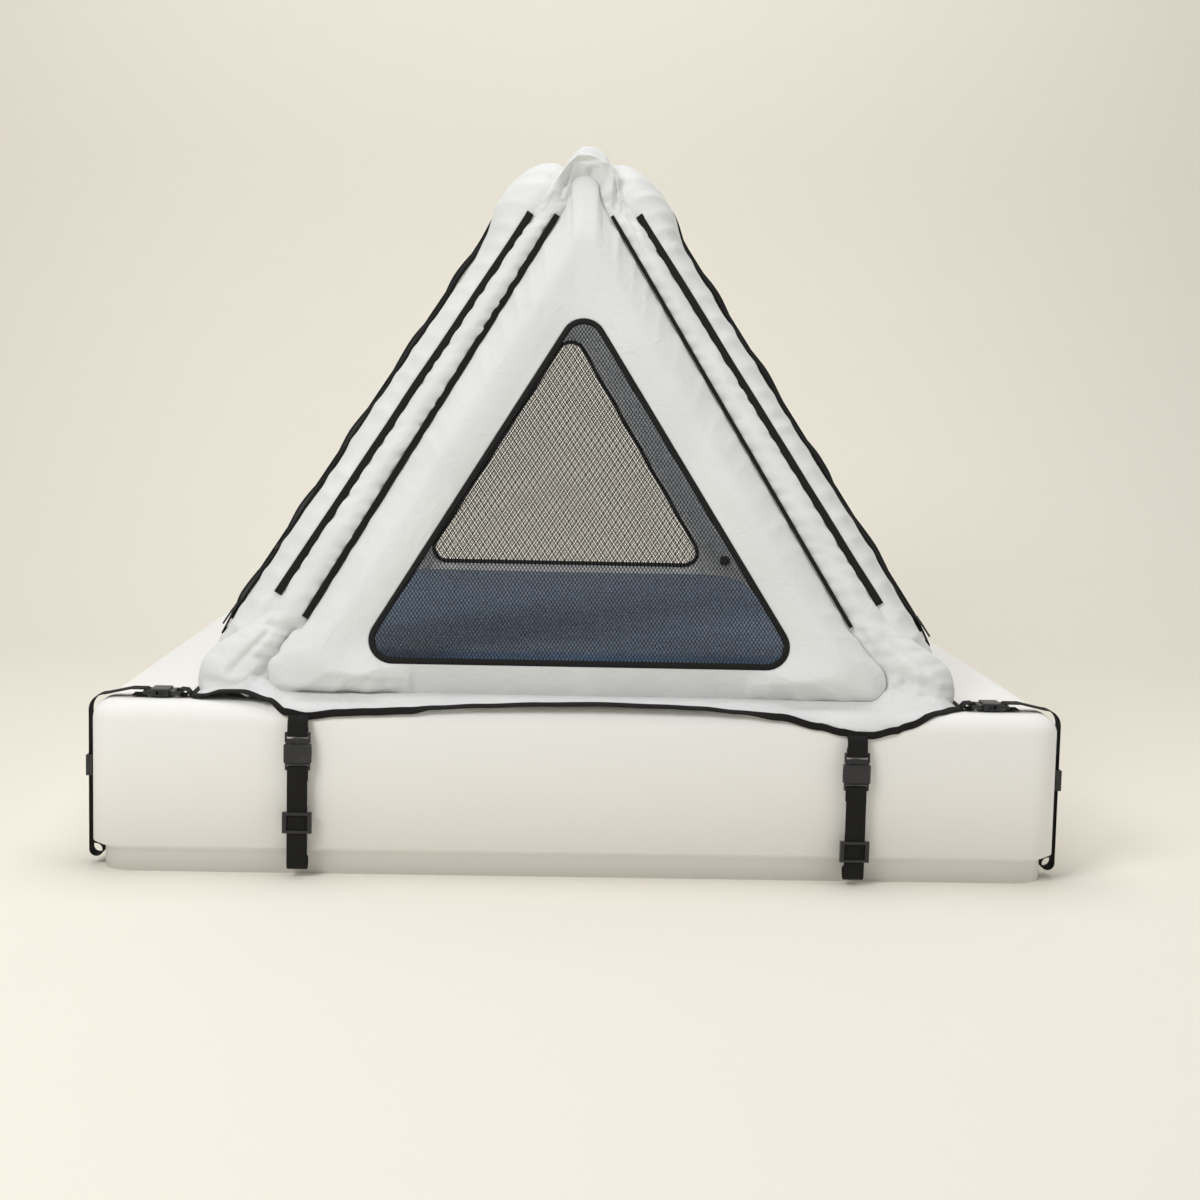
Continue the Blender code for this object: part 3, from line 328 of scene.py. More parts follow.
def black_tape(name, width, pitch, colour, lint):
    made, graph, shader = start_material(name, 0.78)
    _, flat = coordinates(graph)
    woven = use_group(graph, ribs, flat, Pitch=pitch, Width=width)
    # The paler colour paints both the rib crowns' highlight and the tape's lint.
    graph.put(shader.inputs["Base Color"], graph.mix(woven.outputs["Tone"], (*colour, 1.0), (*lint, 1.0)))
    graph.put(shader.inputs["Normal"], graph.bump(woven.outputs["Height"], 0.0004))
    shader.inputs["Sheen Weight"].default_value = 0.02
    shader.inputs["Specular IOR Level"].default_value = 0.18
    return made


def net_cloth(name, colour, light, hole, see_through=True):
    made, graph, shader = start_material(name, 0.6)
    _, flat = coordinates(graph)
    holes = use_group(graph, net, flat, Hole_across=hole[0], Hole_along=hole[1])
    # The threads are paler along their middles than at the hole edges: a painted highlight on the rounded
    # threads.
    graph.put(shader.inputs["Base Color"], graph.mix(holes.outputs["Height"], (*colour, 1.0), (*light, 1.0)))
    graph.put(shader.inputs["Normal"], graph.bump(holes.outputs["Height"], 0.0006, 0.8))
    shader.inputs["Specular IOR Level"].default_value = 0.2
    if see_through:
        graph.put(shader.inputs["Alpha"], holes.outputs["Thread"])
    return made


def black_plastic(name, roughness, scale):
    made, graph, shader = start_material(name, roughness)
    solid, _ = coordinates(graph)
    skin = use_group(graph, grain, solid, Scale=scale)
    # Sharp edges are paler in patches.
    base = graph.mix(skin.outputs["Rub"], (0.006, 0.006, 0.0065, 1.0), (0.030, 0.030, 0.032, 1.0))
    graph.put(shader.inputs["Base Color"], base)
    dull = graph.remap(skin.outputs["Height"], 0.3, 0.7, roughness, roughness + 0.12)
    graph.put(shader.inputs["Roughness"], dull)
    graph.put(shader.inputs["Normal"], graph.bump(skin.outputs["Height"], 0.0002, 0.5))
    return made


# %% Make the finishes
SHELL = shell_cloth("shell cloth", (0.780, 0.788, 0.780), (0.735, 0.746, 0.738), 7.0, 0.004)
SHEET = shell_cloth("ground sheet cloth", (0.775, 0.782, 0.776), (0.725, 0.734, 0.730), 10.0, 0.006)
# The second colour of each tape paints its rib crowns' highlight and its lint.
TAPE = black_tape("woven black tape", 0.014, 0.0014, (0.0075, 0.007, 0.0065), (0.024, 0.022, 0.020))
WEBBING = black_tape("black webbing", WEB_WIDTH, 0.0020, (0.007, 0.007, 0.007), (0.024, 0.023, 0.022))
# The second colour of each net is the painted highlight along its thread middles.
NET = net_cloth("black net", (0.008, 0.008, 0.009), (0.030, 0.030, 0.032), (0.00195, 0.0028))
BOUND_NET = net_cloth("bound net edge", (0.002, 0.002, 0.002), (0.014, 0.013, 0.012), (0.0016, 0.0024), False)
PLASTIC = black_plastic("moulded black plastic", 0.36, 900.0)
TEETH = black_plastic("zip coil", 0.30, 1400.0)


def beam_film():
    made, graph, shader = start_material("air beam film", 0.28)
    solid, _ = coordinates(graph)
    soft = use_group(graph, crumple, solid, Scale=30.0, Sharpness=1.2)
    tone = graph.mix(soft.outputs["Tone"], (0.5, 0.54, 0.58, 1.0), (0.64, 0.68, 0.71, 1.0))
    graph.put(shader.inputs["Base Color"], tone)
    graph.put(shader.inputs["Normal"], graph.bump(soft.outputs["Height"], 0.002))
    return made


def mat_cloth():
    made, graph, shader = start_material("brushed blue mat cloth", 0.88)
    solid, _ = coordinates(graph)
    soft = use_group(graph, crumple, solid, Scale=14.0, Sharpness=0.6)
    nap = graph.noise(solid, 700.0, 3.0, 0.7)
    tone = graph.mix(soft.outputs["Tone"], (0.052, 0.120, 0.235, 1.0), (0.080, 0.168, 0.315, 1.0))
    brushed = graph.mix(graph.remap(nap, 0.5, 0.9), tone, (0.13, 0.20, 0.30, 1.0))
    graph.put(shader.inputs["Base Color"], brushed)
    folds = graph.bump(soft.outputs["Height"], 0.004)
    graph.put(shader.inputs["Normal"], graph.bump(nap, 0.0006, 0.6, folds))
    shader.inputs["Sheen Weight"].default_value = 0.35
    return made


FILM = beam_film()
MAT = mat_cloth()
print("finishes made:", len(bpy.data.materials))

# %% [markdown]
# ## Cloth as grids
# Nearly every piece here is a strip of cloth: rows of points that follow a path, joined into a skin.
# One helper turns rows into a mesh and gives it a flat map in metres, so that weave and net keep their size.


# %% Grid helpers
def smooth(x):
    x = min(1.0, max(0.0, x))
    return x * x * (3 - 2 * x)


def between(a, b, share):
    return a + (b - a) * share


def lengths(points):
    run = [0.0]
    for a, b in zip(points, points[1:]):
        run.append(run[-1] + (b - a).length)
    return run


def grid_piece(name, rows, finish, loop_rows=False, loop_ring=False, cap=False, flats=None):
    """Skin rows of points. flats gives each point's place in the flat cloth, or else it is measured."""
    count, width = len(rows), len(rows[0])
    points = [p for row in rows for p in row]
    if flats is None:
        middle = [row[width // 2] for row in rows]
        down = lengths(middle + middle[:1])
        flats = [[(s, down[i]) for s in lengths(row + row[:1])] for i, row in enumerate(rows)]
        flats.append([(s, down[-1]) for s, _ in flats[0]])
    faces, places = [], []
    for i in range(count if loop_rows else count - 1):
        for j in range(width if loop_ring else width - 1):
            m, n = (i + 1) % count, (j + 1) % width
            faces.append((i * width + j, i * width + n, m * width + n, m * width + j))
            places += [flats[i][j], flats[i][j + 1], flats[i + 1][j + 1], flats[i + 1][j]]
    if cap:
        for i, turn in ((0, -1), (count - 1, 1)):
            ring = [i * width + j for j in range(width)][::turn]
            faces.append(ring)
            places += [flats[i][k % width] for k in ring]
    mesh = bpy.data.meshes.new(name)
    mesh.from_pydata(points, [], faces)
    layer = mesh.uv_layers.new(name="cloth")
    layer.data.foreach_set("uv", [value for place in places for value in place[:2]])
    mesh.materials.append(finish)
    mesh.shade_smooth()
    obj = bpy.data.objects.new(name, mesh)
    bpy.context.scene.collection.objects.link(obj)
    return obj


def face_out(obj, centre=None):
    """Turn a closed mesh's faces outwards, or an open one's away from a centre."""
    mesh = obj.data
    mesh.calc_loop_triangles()
    total = 0.0
    for triangle in mesh.loop_triangles:
        a, b, c = (mesh.vertices[i].co for i in triangle.vertices)
        if centre is None:
            total += a.dot(b.cross(c))
        else:
            total += (b - a).cross(c - a).dot((a + b + c) / 3 - centre)
    if total < 0:
        mesh.flip_normals()
    return obj


def push(rows, amount, loop_rows=False, loop_ring=False):
    """Move every point of a grid along its own normal by amount(i, j, point)."""
    count, width = len(rows), len(rows[0])
    moved = []
    for i in range(count):
        line = []
        for j in range(width):
            up = rows[(i + 1) % count] if loop_rows or i + 1 < count else rows[i]
            down = rows[i - 1] if loop_rows or i > 0 else rows[i]
            right = rows[i][(j + 1) % width] if loop_ring or j + 1 < width else rows[i][j]
            left = rows[i][j - 1] if loop_ring or j > 0 else rows[i][j]
            normal = (right - left).cross(up[j] - down[j])
            if normal.length > 1e-12:
                normal.normalize()
            line.append(rows[i][j] + normal * amount(i, j, rows[i][j]))
        moved.append(line)
    return moved


def ripple(point, scale, seed):
    """Smooth noise from -1 to 1 at a place."""
    return noise.noise(Vector(point) * scale + Vector((seed, seed * 1.7, -seed)))


def pucker(point, scale, seed):
    """Sharp-edged folds from 0 to 1."""
    return 1.0 - abs(ripple(point, scale, seed)) * 2.2


def finish_piece(obj, body, slot, *replaced):
    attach(obj, body)
    if replaced:
        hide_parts(*replaced)


# %% [markdown]
# ## The leaning panels
# Each frame is drawn flat on a working plane that leans in over the bed: u runs across it, v up its slope and
# w out of it. The same outlines give the sleeve, the binding, the net and the zip their places.


# %% Working planes
class Panel:
    def __init__(self, base, lean, turn):
        spin = Matrix.Rotation(turn, 3, "Z")
        self.lean = lean
        self.origin = spin @ Vector((0.0, -base, 0.0))
        self.across = spin @ Vector((1.0, 0.0, 0.0))
        self.up = spin @ Vector((0.0, math.sin(lean), math.cos(lean)))
        self.out = spin @ Vector((0.0, -math.cos(lean), math.sin(lean)))

    def point(self, u, v, w=0.0):
        return self.origin + self.across * u + self.up * v + self.out * w


def corner_arc(before, corner, after, radius, steps):
    back = (before - corner).normalized()
    ahead = (after - corner).normalized()
    half = back.angle(ahead) / 2
    start = corner + back * radius / math.tan(half)
    centre = corner + (back + ahead).normalized() * radius / math.sin(half)
    angle = math.pi - 2 * half
    if back.x * ahead.y - back.y * ahead.x > 0:
        angle = -angle
    arm = start - centre
    run = []
    for k in range(steps + 1):
        c, s = math.cos(angle * k / steps), math.sin(angle * k / steps)
        run.append(centre + Vector((arm.x * c - arm.y * s, arm.x * s + arm.y * c)))
    return run


def outline(corners, radii, arc_steps, edge_steps):
    """Points round a closed outline with rounded corners, anticlockwise from its lower right corner."""
    count = len(corners)
    points = [Vector(corner) for corner in corners]
    arcs = [
        corner_arc(points[i - 1], points[i], points[(i + 1) % count], radii[i], arc_steps[i])
        for i in range(count)
    ]
    run = []
    for i in range(count):
        run += arcs[i]
        start, end = arcs[i][-1], arcs[(i + 1) % count][0]
        run += [between(start, end, k / edge_steps[i]) for k in range(1, edge_steps[i])]
    return run


def inset(corners, distances):
    """Move each side of a convex anticlockwise outline in by its own distance."""
    count = len(corners)
    lines = []
    for i in range(count):
        a, b = Vector(corners[i]), Vector(corners[(i + 1) % count])
        along = (b - a).normalized()
        lines.append((a + Vector((-along.y, along.x)) * distances[i], along))
    moved = []
    for i in range(count):
        (p, d), (q, e) = lines[i - 1], lines[i]
        share = ((q - p).x * e.y - (q - p).y * e.x) / (d.x * e.y - d.y * e.x)
        moved.append(tuple(p + d * share))
    return moved


# %% Outlines of the end frames and the side frames
BASE_STEPS, FOOT_STEPS, LEG_STEPS, TURN_STEPS, TOP_STEPS = 30, 70, 130, 26, 60
CURL_STEP = 39
ARC_STEPS = 12
END_FOOT, END_KNEE = (0.540, 0.004), (0.443, 0.125)
END_NECK, END_TIP = (0.0235, 0.890), (0.0235, 0.934)
END_RADII = (0.036, 0.120, 0.085, 0.0228)
WINDOW_RADII = (0.040, 0.038)
SIDE_RADII = (0.080, 0.130)
DOOR_RADIUS = 0.030
# Up the tongue the sleeve gets thinner: where this starts, its length, and what is left of each face.
NECK_FROM, NECK_RUN = 0.78, 0.12
NECK_OUTER, NECK_INNER = 0.62, 0.25


def spaced(points, steps):
    """The same run with its points evenly apart."""
    run = lengths(points)
    result, k = [], 0
    for i in range(steps + 1):
        goal = run[-1] * i / steps
        while k < len(run) - 2 and run[k + 1] < goal:
            k += 1
        result.append(points[k].lerp(points[k + 1], (goal - run[k]) / (run[k + 1] - run[k])))
    return result


def right_arcs(corners, radii):
    """Corner arcs of the right half of a closed outline."""
    whole = [Vector(corner) for corner in corners]
    count = len(whole)
    return [corner_arc(whole[i - 1], whole[i], whole[(i + 1) % count], radius, ARC_STEPS)
            for i, radius in enumerate(radii)]


def mirrored(spans):
    """Space out the spans of a right half and add the left half, from the middle of the base."""
    half = []
    for points, steps in spans:
        half += spaced(points, steps)[:-1]
    half.append(spans[-1][0][-1])
    return half + [Vector((-p.x, p.y)) for p in reversed(half[1:-1])]


class EndShape:
    seat, foot_end = END_SEAT, END_FOOT_END

    def outer(self):
        right = [END_FOOT, END_KNEE, END_NECK, END_TIP]
        corners = right + [(-u, v) for u, v in reversed(right)]
        foot, knee, neck, tip = right_arcs(corners, END_RADII)
        start, seam = Vector((0.0, END_FOOT[1])), Vector((self.foot_end, END_FOOT[1]))
        tongue = neck + tip + [Vector((0.0, END_TIP[1]))]
        return mirrored([([start, seam], BASE_STEPS), ([seam] + foot + knee, FOOT_STEPS),
                         ([knee[-1], neck[0]], LEG_STEPS), (tongue, TOP_STEPS)])

    def opening(self, extra=0.0):
        half = SIDE_BASE - CORNER_SPACE
        slope = (half - SHOULDER[0]) / (SHOULDER[1] - END_LIFT) * WINDOW_LEAN_IN
        half -= WINDOW_BASE_IN
        triangle = [(half, END_LIFT), (0.0, END_LIFT + half / slope), (-half, END_LIFT)]
        return inset(triangle, [END_BAND + extra, END_BAND + extra, END_SILL - END_LIFT + extra])

    def inner(self, extra=0.0):
        corners = self.opening(extra)
        foot, apex = right_arcs(corners, [radius - extra for radius in WINDOW_RADII])
        start, seam = Vector((0.0, corners[0][1])), Vector((self.foot_end, corners[0][1]))
        return mirrored([([start, seam], BASE_STEPS), ([seam] + foot, FOOT_STEPS),
                         ([foot[-1], apex[0]], LEG_STEPS), (apex[:ARC_STEPS // 2 + 1], TOP_STEPS)])

    def swell(self, v):
        share = smooth((v - NECK_FROM) / NECK_RUN)
        return between(1.0, NECK_OUTER, share), between(1.0, NECK_INNER, share)


class SideShape:
    seat, foot_end, low = SIDE_SEAT, SIDE_FOOT_END, SIDE_LIFT
    base_half = END_BASE + SIDE_SETBACK
    slope = math.tan(END_LEAN) * math.cos(SIDE_LEAN)

    def half_at(self, v):
        return self.base_half - self.slope * v

    def corners(self):
        right = [(self.half_at(self.low), self.low), (self.half_at(RIDGE_V), RIDGE_V)]
        return right + [(-u, v) for u, v in reversed(right)]

    def rounded(self, corners, low_radius, top_radius):
        foot, turn = right_arcs(corners, [low_radius, top_radius])
        start, seam = Vector((0.0, corners[0][1])), Vector((self.foot_end, corners[0][1]))
        return mirrored([([start, seam], BASE_STEPS), ([seam] + foot, FOOT_STEPS),
                         ([foot[-1], turn[0]], LEG_STEPS), (turn, TURN_STEPS),
                         ([turn[-1], Vector((0.0, corners[1][1]))], TOP_STEPS)])

    def outer(self):
        return self.rounded(self.corners(), *SIDE_RADII)

    def opening(self, extra=0.0):
        band = SIDE_BAND + extra
        return inset(self.corners(), [band, band, band, SIDE_SILL - self.low + extra])

    def inner(self, extra=0.0):
        return self.rounded(self.opening(extra), DOOR_RADIUS - extra, DOOR_RADIUS - extra)

    def edge_at(self, height):
        v = height / math.cos(SIDE_LEAN)
        return self.half_at(v), v

    def swell(self, v):
        return 1.0, 1.0


END, SIDE = EndShape(), SideShape()
PANELS = {
    "front": (END, Panel(END_BASE, END_LEAN, 0.0)),
    "rear": (END, Panel(END_BASE, END_LEAN, math.pi)),
    "right": (SIDE, Panel(SIDE_BASE, SIDE_LEAN, math.pi / 2)),
    "left": (SIDE, Panel(SIDE_BASE, SIDE_LEAN, -math.pi / 2)),
}

# %% [markdown]
# ## The inflated sleeves
# A sleeve is a wide band of cloth sewn round an air beam. Its outer face rolls over from the seam and then
# runs nearly flat to the opening, and low down between the two feet it is a single layer. The band is swept
# in code, because a sweep gives control of the puckers: short folds that fan out from the outer seam, and
# deeper ones where the band bends round at its feet.


# %% Section of the band
THIN = SINGLE_LAYER / 2


class Station:
    """One section across the band, from its outer edge (c = 1) to its inner edge (c = -1)."""

    def __init__(self, shape, panel, p, q):
        self.shape, self.panel = shape, panel
        self.middle = (p + q) / 2
        self.half = (p - q).length / 2
        self.toward = (p - q).normalized()
        self.lean = END_LEAN if shape is END else SIDE_LEAN
        self.filled = 1.0
        if self.middle.y < shape.opening()[0][1]:
            share = min(1.0, max(0.0, (abs(self.middle.x) - shape.foot_end) / FOOT_TAPER))
            self.filled = math.sqrt(1 - (1 - share) ** 2)
        self.size = min(1.0, self.half / (SWELL_OUT + SWELL_IN) * 2.0) * self.filled
        self.room = min(self.room_at(c) for c in (0.81, 0.31, -0.31, -0.81))

    def along(self, c):
        return self.middle.y + self.toward.y * self.half * c

    def room_at(self, c):
        height = self.along(c) * math.cos(self.lean) + self.level(c) * math.sin(self.lean)
        return (height - FLOOR_CLEARANCE) / (math.sin(self.lean) * math.sqrt(1 - c * c))

    def level(self, c):
        return self.shape.seat * (1 - c) / 2

    def outward(self, c):
        round_off = math.sqrt(max(0.0, 1 - c * c))
        if self.shape is SIDE:
            # The rounded shoulder at the ridge stands out further.
            puff = TURN_PUFF * smooth((self.along(c) - 0.84) / 0.10) * smooth((1 + c) / 0.55)
            face = (SIDE_FACE + puff) * math.sqrt(max(0.0, 1 - ((1 + c) / 2) ** 2.2))
            return between(self.level(c) + THIN * round_off, face, self.filled)
        rise = THIN + (SWELL_OUT * self.shape.swell(self.along(c))[0] - THIN) * self.size
        if c > 0:
            return self.level(c) + rise * round_off
        return self.level(c) + rise * (1 - c * c) + self.filled * self.shape.seat / 2 * (c * c + c)

    def inward(self, c):
        drop = THIN + (SWELL_IN * self.shape.swell(self.along(c))[1] - THIN) * self.size
        return self.level(c) - min(drop, self.room) * math.sqrt(max(0.0, 1 - c * c))

    def place(self, c, w):
        flat = self.middle + self.toward * self.half * c
        return self.panel.point(flat.x, flat.y, w)


def band_stations(name):
    shape, panel = PANELS[name]
    return [Station(shape, panel, p, q) for p, q in zip(shape.outer(), shape.inner())]


FACE_STEPS = 24
ANGLES = [math.pi * k / FACE_STEPS for k in range(FACE_STEPS + 1)]
STATIONS = {name: band_stations(name) for name in PANELS}

# %% Folds with a place of their own
# Each one is a line in the front view with a width and a height: (x, z, x, z, width, height).
FOLDS = (
    (0.055, 0.858, 0.053, 0.818, 0.0055, -0.0070), (0.030, 0.880, 0.038, 0.825, 0.0090, 0.0050),
    (0.055, 0.811, 0.082, 0.797, 0.0040, -0.0040), (0.057, 0.833, 0.088, 0.776, 0.0045, -0.0045),
    (0.088, 0.776, 0.094, 0.742, 0.0040, -0.0035), (-0.042, 0.837, -0.032, 0.871, 0.0050, -0.0055),
    (-0.067, 0.766, -0.066, 0.770, 0.0080, -0.0045), (-0.085, 0.798, -0.058, 0.785, 0.0040, -0.0030),
    (-0.503, 0.116, -0.461, 0.103, 0.0055, -0.0090), (-0.479, 0.168, -0.503, 0.135, 0.0040, -0.0040),
    (-0.500, 0.106, -0.559, 0.041, 0.0060, -0.0060), (-0.467, 0.095, -0.527, 0.021, 0.0070, -0.0070),
    (-0.485, 0.070, -0.533, 0.035, 0.0070, 0.0050), (-0.593, 0.026, -0.527, 0.019, 0.0050, -0.0040),
    (-0.576, 0.012, -0.499, 0.021, 0.0050, -0.0040), (0.529, 0.046, 0.572, 0.040, 0.0080, -0.0110),
    (0.529, 0.040, 0.509, 0.028, 0.0050, -0.0060), (0.572, 0.041, 0.618, 0.036, 0.0060, 0.0060),
    (0.546, 0.035, 0.589, 0.002, 0.0070, 0.0050), (0.462, 0.118, 0.486, 0.083, 0.0050, -0.0050),
    (0.497, 0.112, 0.560, 0.060, 0.0070, -0.0050), (-0.300, 0.023, -0.470, 0.026, 0.0060, -0.0045),
    (-0.012, 0.897, 0.016, 0.899, 0.0035, -0.0040), (0.002, 0.886, 0.030, 0.892, 0.0050, 0.0045),
    (-0.026, 0.886, -0.034, 0.858, 0.0040, -0.0060), (0.046, 0.880, 0.048, 0.845, 0.0050, 0.0050),
    (-0.056, 0.842, -0.074, 0.812, 0.0045, 0.0040), (0.066, 0.826, 0.060, 0.795, 0.0055, -0.0045),
)


def placed_folds(point, shown=-0.45):
    """Height of the placed folds at a point of the front end."""
    if point.y > shown:
        return 0.0
    total = 0.0
    for x0, z0, x1, z1, width, height in FOLDS:
        run_x, run_z = x1 - x0, z1 - z0
        share = ((point.x - x0) * run_x + (point.z - z0) * run_z) / (run_x * run_x + run_z * run_z)
        share = min(1.0, max(0.0, share))
        off = (point.x - x0 - share * run_x) ** 2 + (point.z - z0 - share * run_z) ** 2
        if off < 9 * width * width:
            total += height * math.exp(-off / (width * width))
    return total


# %% Puckers and sweep
# Depth and pitch of the folds at the outer seam, and the height of the broad waves.
END_PUCKERS = (0.0022, 0.060, 0.0016)
SIDE_PUCKERS = (0.0046, 0.046, 0.0030)
# Depth and pitch of the folds along the opening of a side frame.
OPENING_DEPTH, OPENING_PITCH = 0.0032, 0.071
FOOT_CRUSH = 0.0026
INNER_WAVES = 0.0016


def gather(run, pitch, seed):
    """Small pleats along a seam, from 0 to 1, at uneven steps of about one pitch."""
    phase = run / pitch + 0.7 * ripple((run / pitch * 0.37, seed, 0.0), 1.0, seed)
    size = 0.65 + 0.7 * ripple((run / pitch * 0.61, 0.0, seed), 1.0, seed + 2)
    return max(0.0, size) * (0.5 + 0.5 * math.cos(math.tau * phase)) ** 3


def sleeve_rows(name):
    rows = []
    for s in STATIONS[name]:
        row = [s.place(math.cos(a), s.outward(math.cos(a))) for a in ANGLES]
        row += [s.place(math.cos(a), s.inward(math.cos(a))) for a in reversed(ANGLES[1:-1])]
        rows.append(row)
    return rows


def sleeve_pucker(name, seed):
    """Folds out of the outer seam, stronger on the side frames and towards the feet."""
    stations = STATIONS[name]
    side = name in ("left", "right")
    depth, pitch, waves = SIDE_PUCKERS if side else END_PUCKERS
    down = lengths([s.place(1.0, 0.0) for s in stations])

    def amount(i, j, point):
        s = stations[i]
        if j > FACE_STEPS:
            return INNER_WAVES * ripple(point, 14.0, seed) * s.filled
        c = math.cos(ANGLES[j])
        # Folds start at the outer seam, die out over the middle of the band and are stronger near the bed.
        foot = smooth((0.16 - point.z) / 0.12)
        seam = smooth((c + 0.2) / 0.9) * smooth((1 - c) / 0.05)
        folds = -depth * (1 + 0.6 * foot) * seam * gather(down[i], pitch, seed)
        folds += FOOT_CRUSH * foot * seam * (pucker(point, 17.0, seed + 3) - 0.5)
        if side:
            edge = smooth((0.1 - c) / 0.6) * smooth((1 + c) / 0.08)
            folds -= OPENING_DEPTH * edge * gather(down[i] + 0.02, OPENING_PITCH, seed + 5)
        broad = waves * ripple(point, 6.5, seed + 7) * smooth((1 - abs(c)) / 0.2)
        placed = placed_folds(point) * smooth((0.22 - point.z) / 0.03) if name == "front" else 0.0
        return (folds + broad + placed) * max(0.25, s.filled)

    return amount


def add_sleeve(name, seed):
    rows = push(sleeve_rows(name), sleeve_pucker(name, seed), loop_rows=True, loop_ring=True)
    obj = face_out(grid_piece(name + "_cloth_sleeve", rows, SHELL, loop_rows=True, loop_ring=True))
    finish_piece(obj, "enclosure", "shell", name + "_sleeve")


for seed, name in enumerate(PANELS):
    add_sleeve(name, 11.0 + 5.3 * seed)
print("stations in a sleeve:", len(STATIONS["front"]), len(STATIONS["left"]))

# %% [markdown]
# ## Corner strips and tapes
# Between an end frame and a side frame runs a puffed strip of cloth with tucks along its seams. A flat black
# tape, 14 mm wide and cut off square, covers the seam on the side frame, and a thin one edges the end frame.

# %% Corner strips
STRIP_ACROSS = 28
STRIP_LOW, STRIP_TOP = 0.130, 0.800
STRIP_FOOT = ((0.608, -0.918, 0.006), (0.613, -0.908, 0.030), (0.600, -0.897, 0.068), (0.548, -0.884, 0.105),
              (0.5093, -0.8751, 0.130))
STRIP_PUFF, FOOT_PUFF, PUFF_WAVE = 0.020, 0.012, 0.0045
# Depth and pitch of the pleats at each seam, and how deep the cloth between them is crumpled.
END_PLEATS, SIDE_PLEATS = (0.0064, 0.030), (0.0052, 0.037)
STRIP_CRUMPLE, FOOT_CRUMPLE = 0.0018, 0.0022
TAPE_SPANS = {"end": (0.118, 0.800), "side": (0.160, 0.803)}
TAPE_THICKNESS = 0.0016
TAPE_SWAY = 0.0012
SIDE_TAPE, END_TAPE_WIDE, END_TAPE_THIN = 0.0140, 0.0105, 0.0066
# How far the tapes' middle lines stand off their seams: up the end frame, and out of and up the side frame.
END_TAPE_UP, SIDE_TAPE_OUT, SIDE_TAPE_UP = 0.0124, 0.0036, 0.0030
CORNERS = (("front", "right", 1, -1), ("front", "left", -1, 1),
           ("rear", "left", 1, -1), ("rear", "right", -1, 1))
# The front edge of the hood over the tongue, from its left seam over the top to its right seam.
HOOD_LEFT = ((-0.0923, -0.6180, 0.800), (-0.074, -0.6150, 0.824), (-0.056, -0.6120, 0.853),
             (-0.034, -0.6090, 0.884), (-0.016, -0.6060, 0.9035), (-0.003, -0.6055, 0.9055))
HOOD_RIGHT = ((0.0923, -0.6180, 0.800), (0.072, -0.6120, 0.822), (0.058, -0.6030, 0.850),
              (0.053, -0.6020, 0.880), (0.034, -0.6040, 0.894), (0.010, -0.6050, 0.9045),
              (-0.003, -0.6055, 0.9055))


def through(points, share):
    """A smooth curve through a row of points, from 0 to 1."""
    place = share * (len(points) - 1)
    k = min(int(place), len(points) - 2)
    t = place - k
    p0, p1, p2, p3 = (Vector(points[min(max(k + d, 0), len(points) - 1)]) for d in (-1, 0, 1, 2))
    square = (2 * p0 - 5 * p1 + 4 * p2 - p3) * t * t
    cube = (3 * p1 - p0 - 3 * p2 + p3) * t ** 3
    return 0.5 * (2 * p1 + (p2 - p0) * t + square + cube)


def curve(points, steps):
    return spaced([through(points, k / 60) for k in range(61)], steps)


class Corner:
    """The two seams that a corner strip joins."""

    def __init__(self, end, side, end_side, side_side):
        self.name = f"{end}_{side}"
        self.end, self.side = PANELS[end][1], PANELS[side][1]
        self.end_side, self.side_side = end_side, side_side
        self.end_out = self.end.across * end_side
        self.side_out = self.side.across * side_side
        self.bulge = (self.end.out + self.side_out).normalized()
        self.turn = 1 if end == "front" else -1
        self.right = 1 if side == "right" else -1

    def side_edge(self, height):
        u, v = SIDE.edge_at(height)
        return self.side.point(u * self.side_side, v)

    def seams(self):
        flat = END.outer()[BASE_STEPS + CURL_STEP:BASE_STEPS + FOOT_STEPS + LEG_STEPS + TOP_STEPS + 1]
        a = [self.end.point(p.x * self.end_side, p.y) for p in flat]
        steps = FOOT_STEPS - CURL_STEP
        b = [Vector((p.x * self.right, p.y * self.turn, p.z)) for p in curve(STRIP_FOOT, steps)[:-1]]
        b += [self.side_edge(between(STRIP_LOW, STRIP_TOP, k / LEG_STEPS)) for k in range(LEG_STEPS)]
        hood = HOOD_RIGHT if self.right * self.turn > 0 else HOOD_LEFT
        b += [Vector((p.x * self.turn, p.y * self.turn, p.z)) for p in curve(hood, TOP_STEPS)]
        return a, b


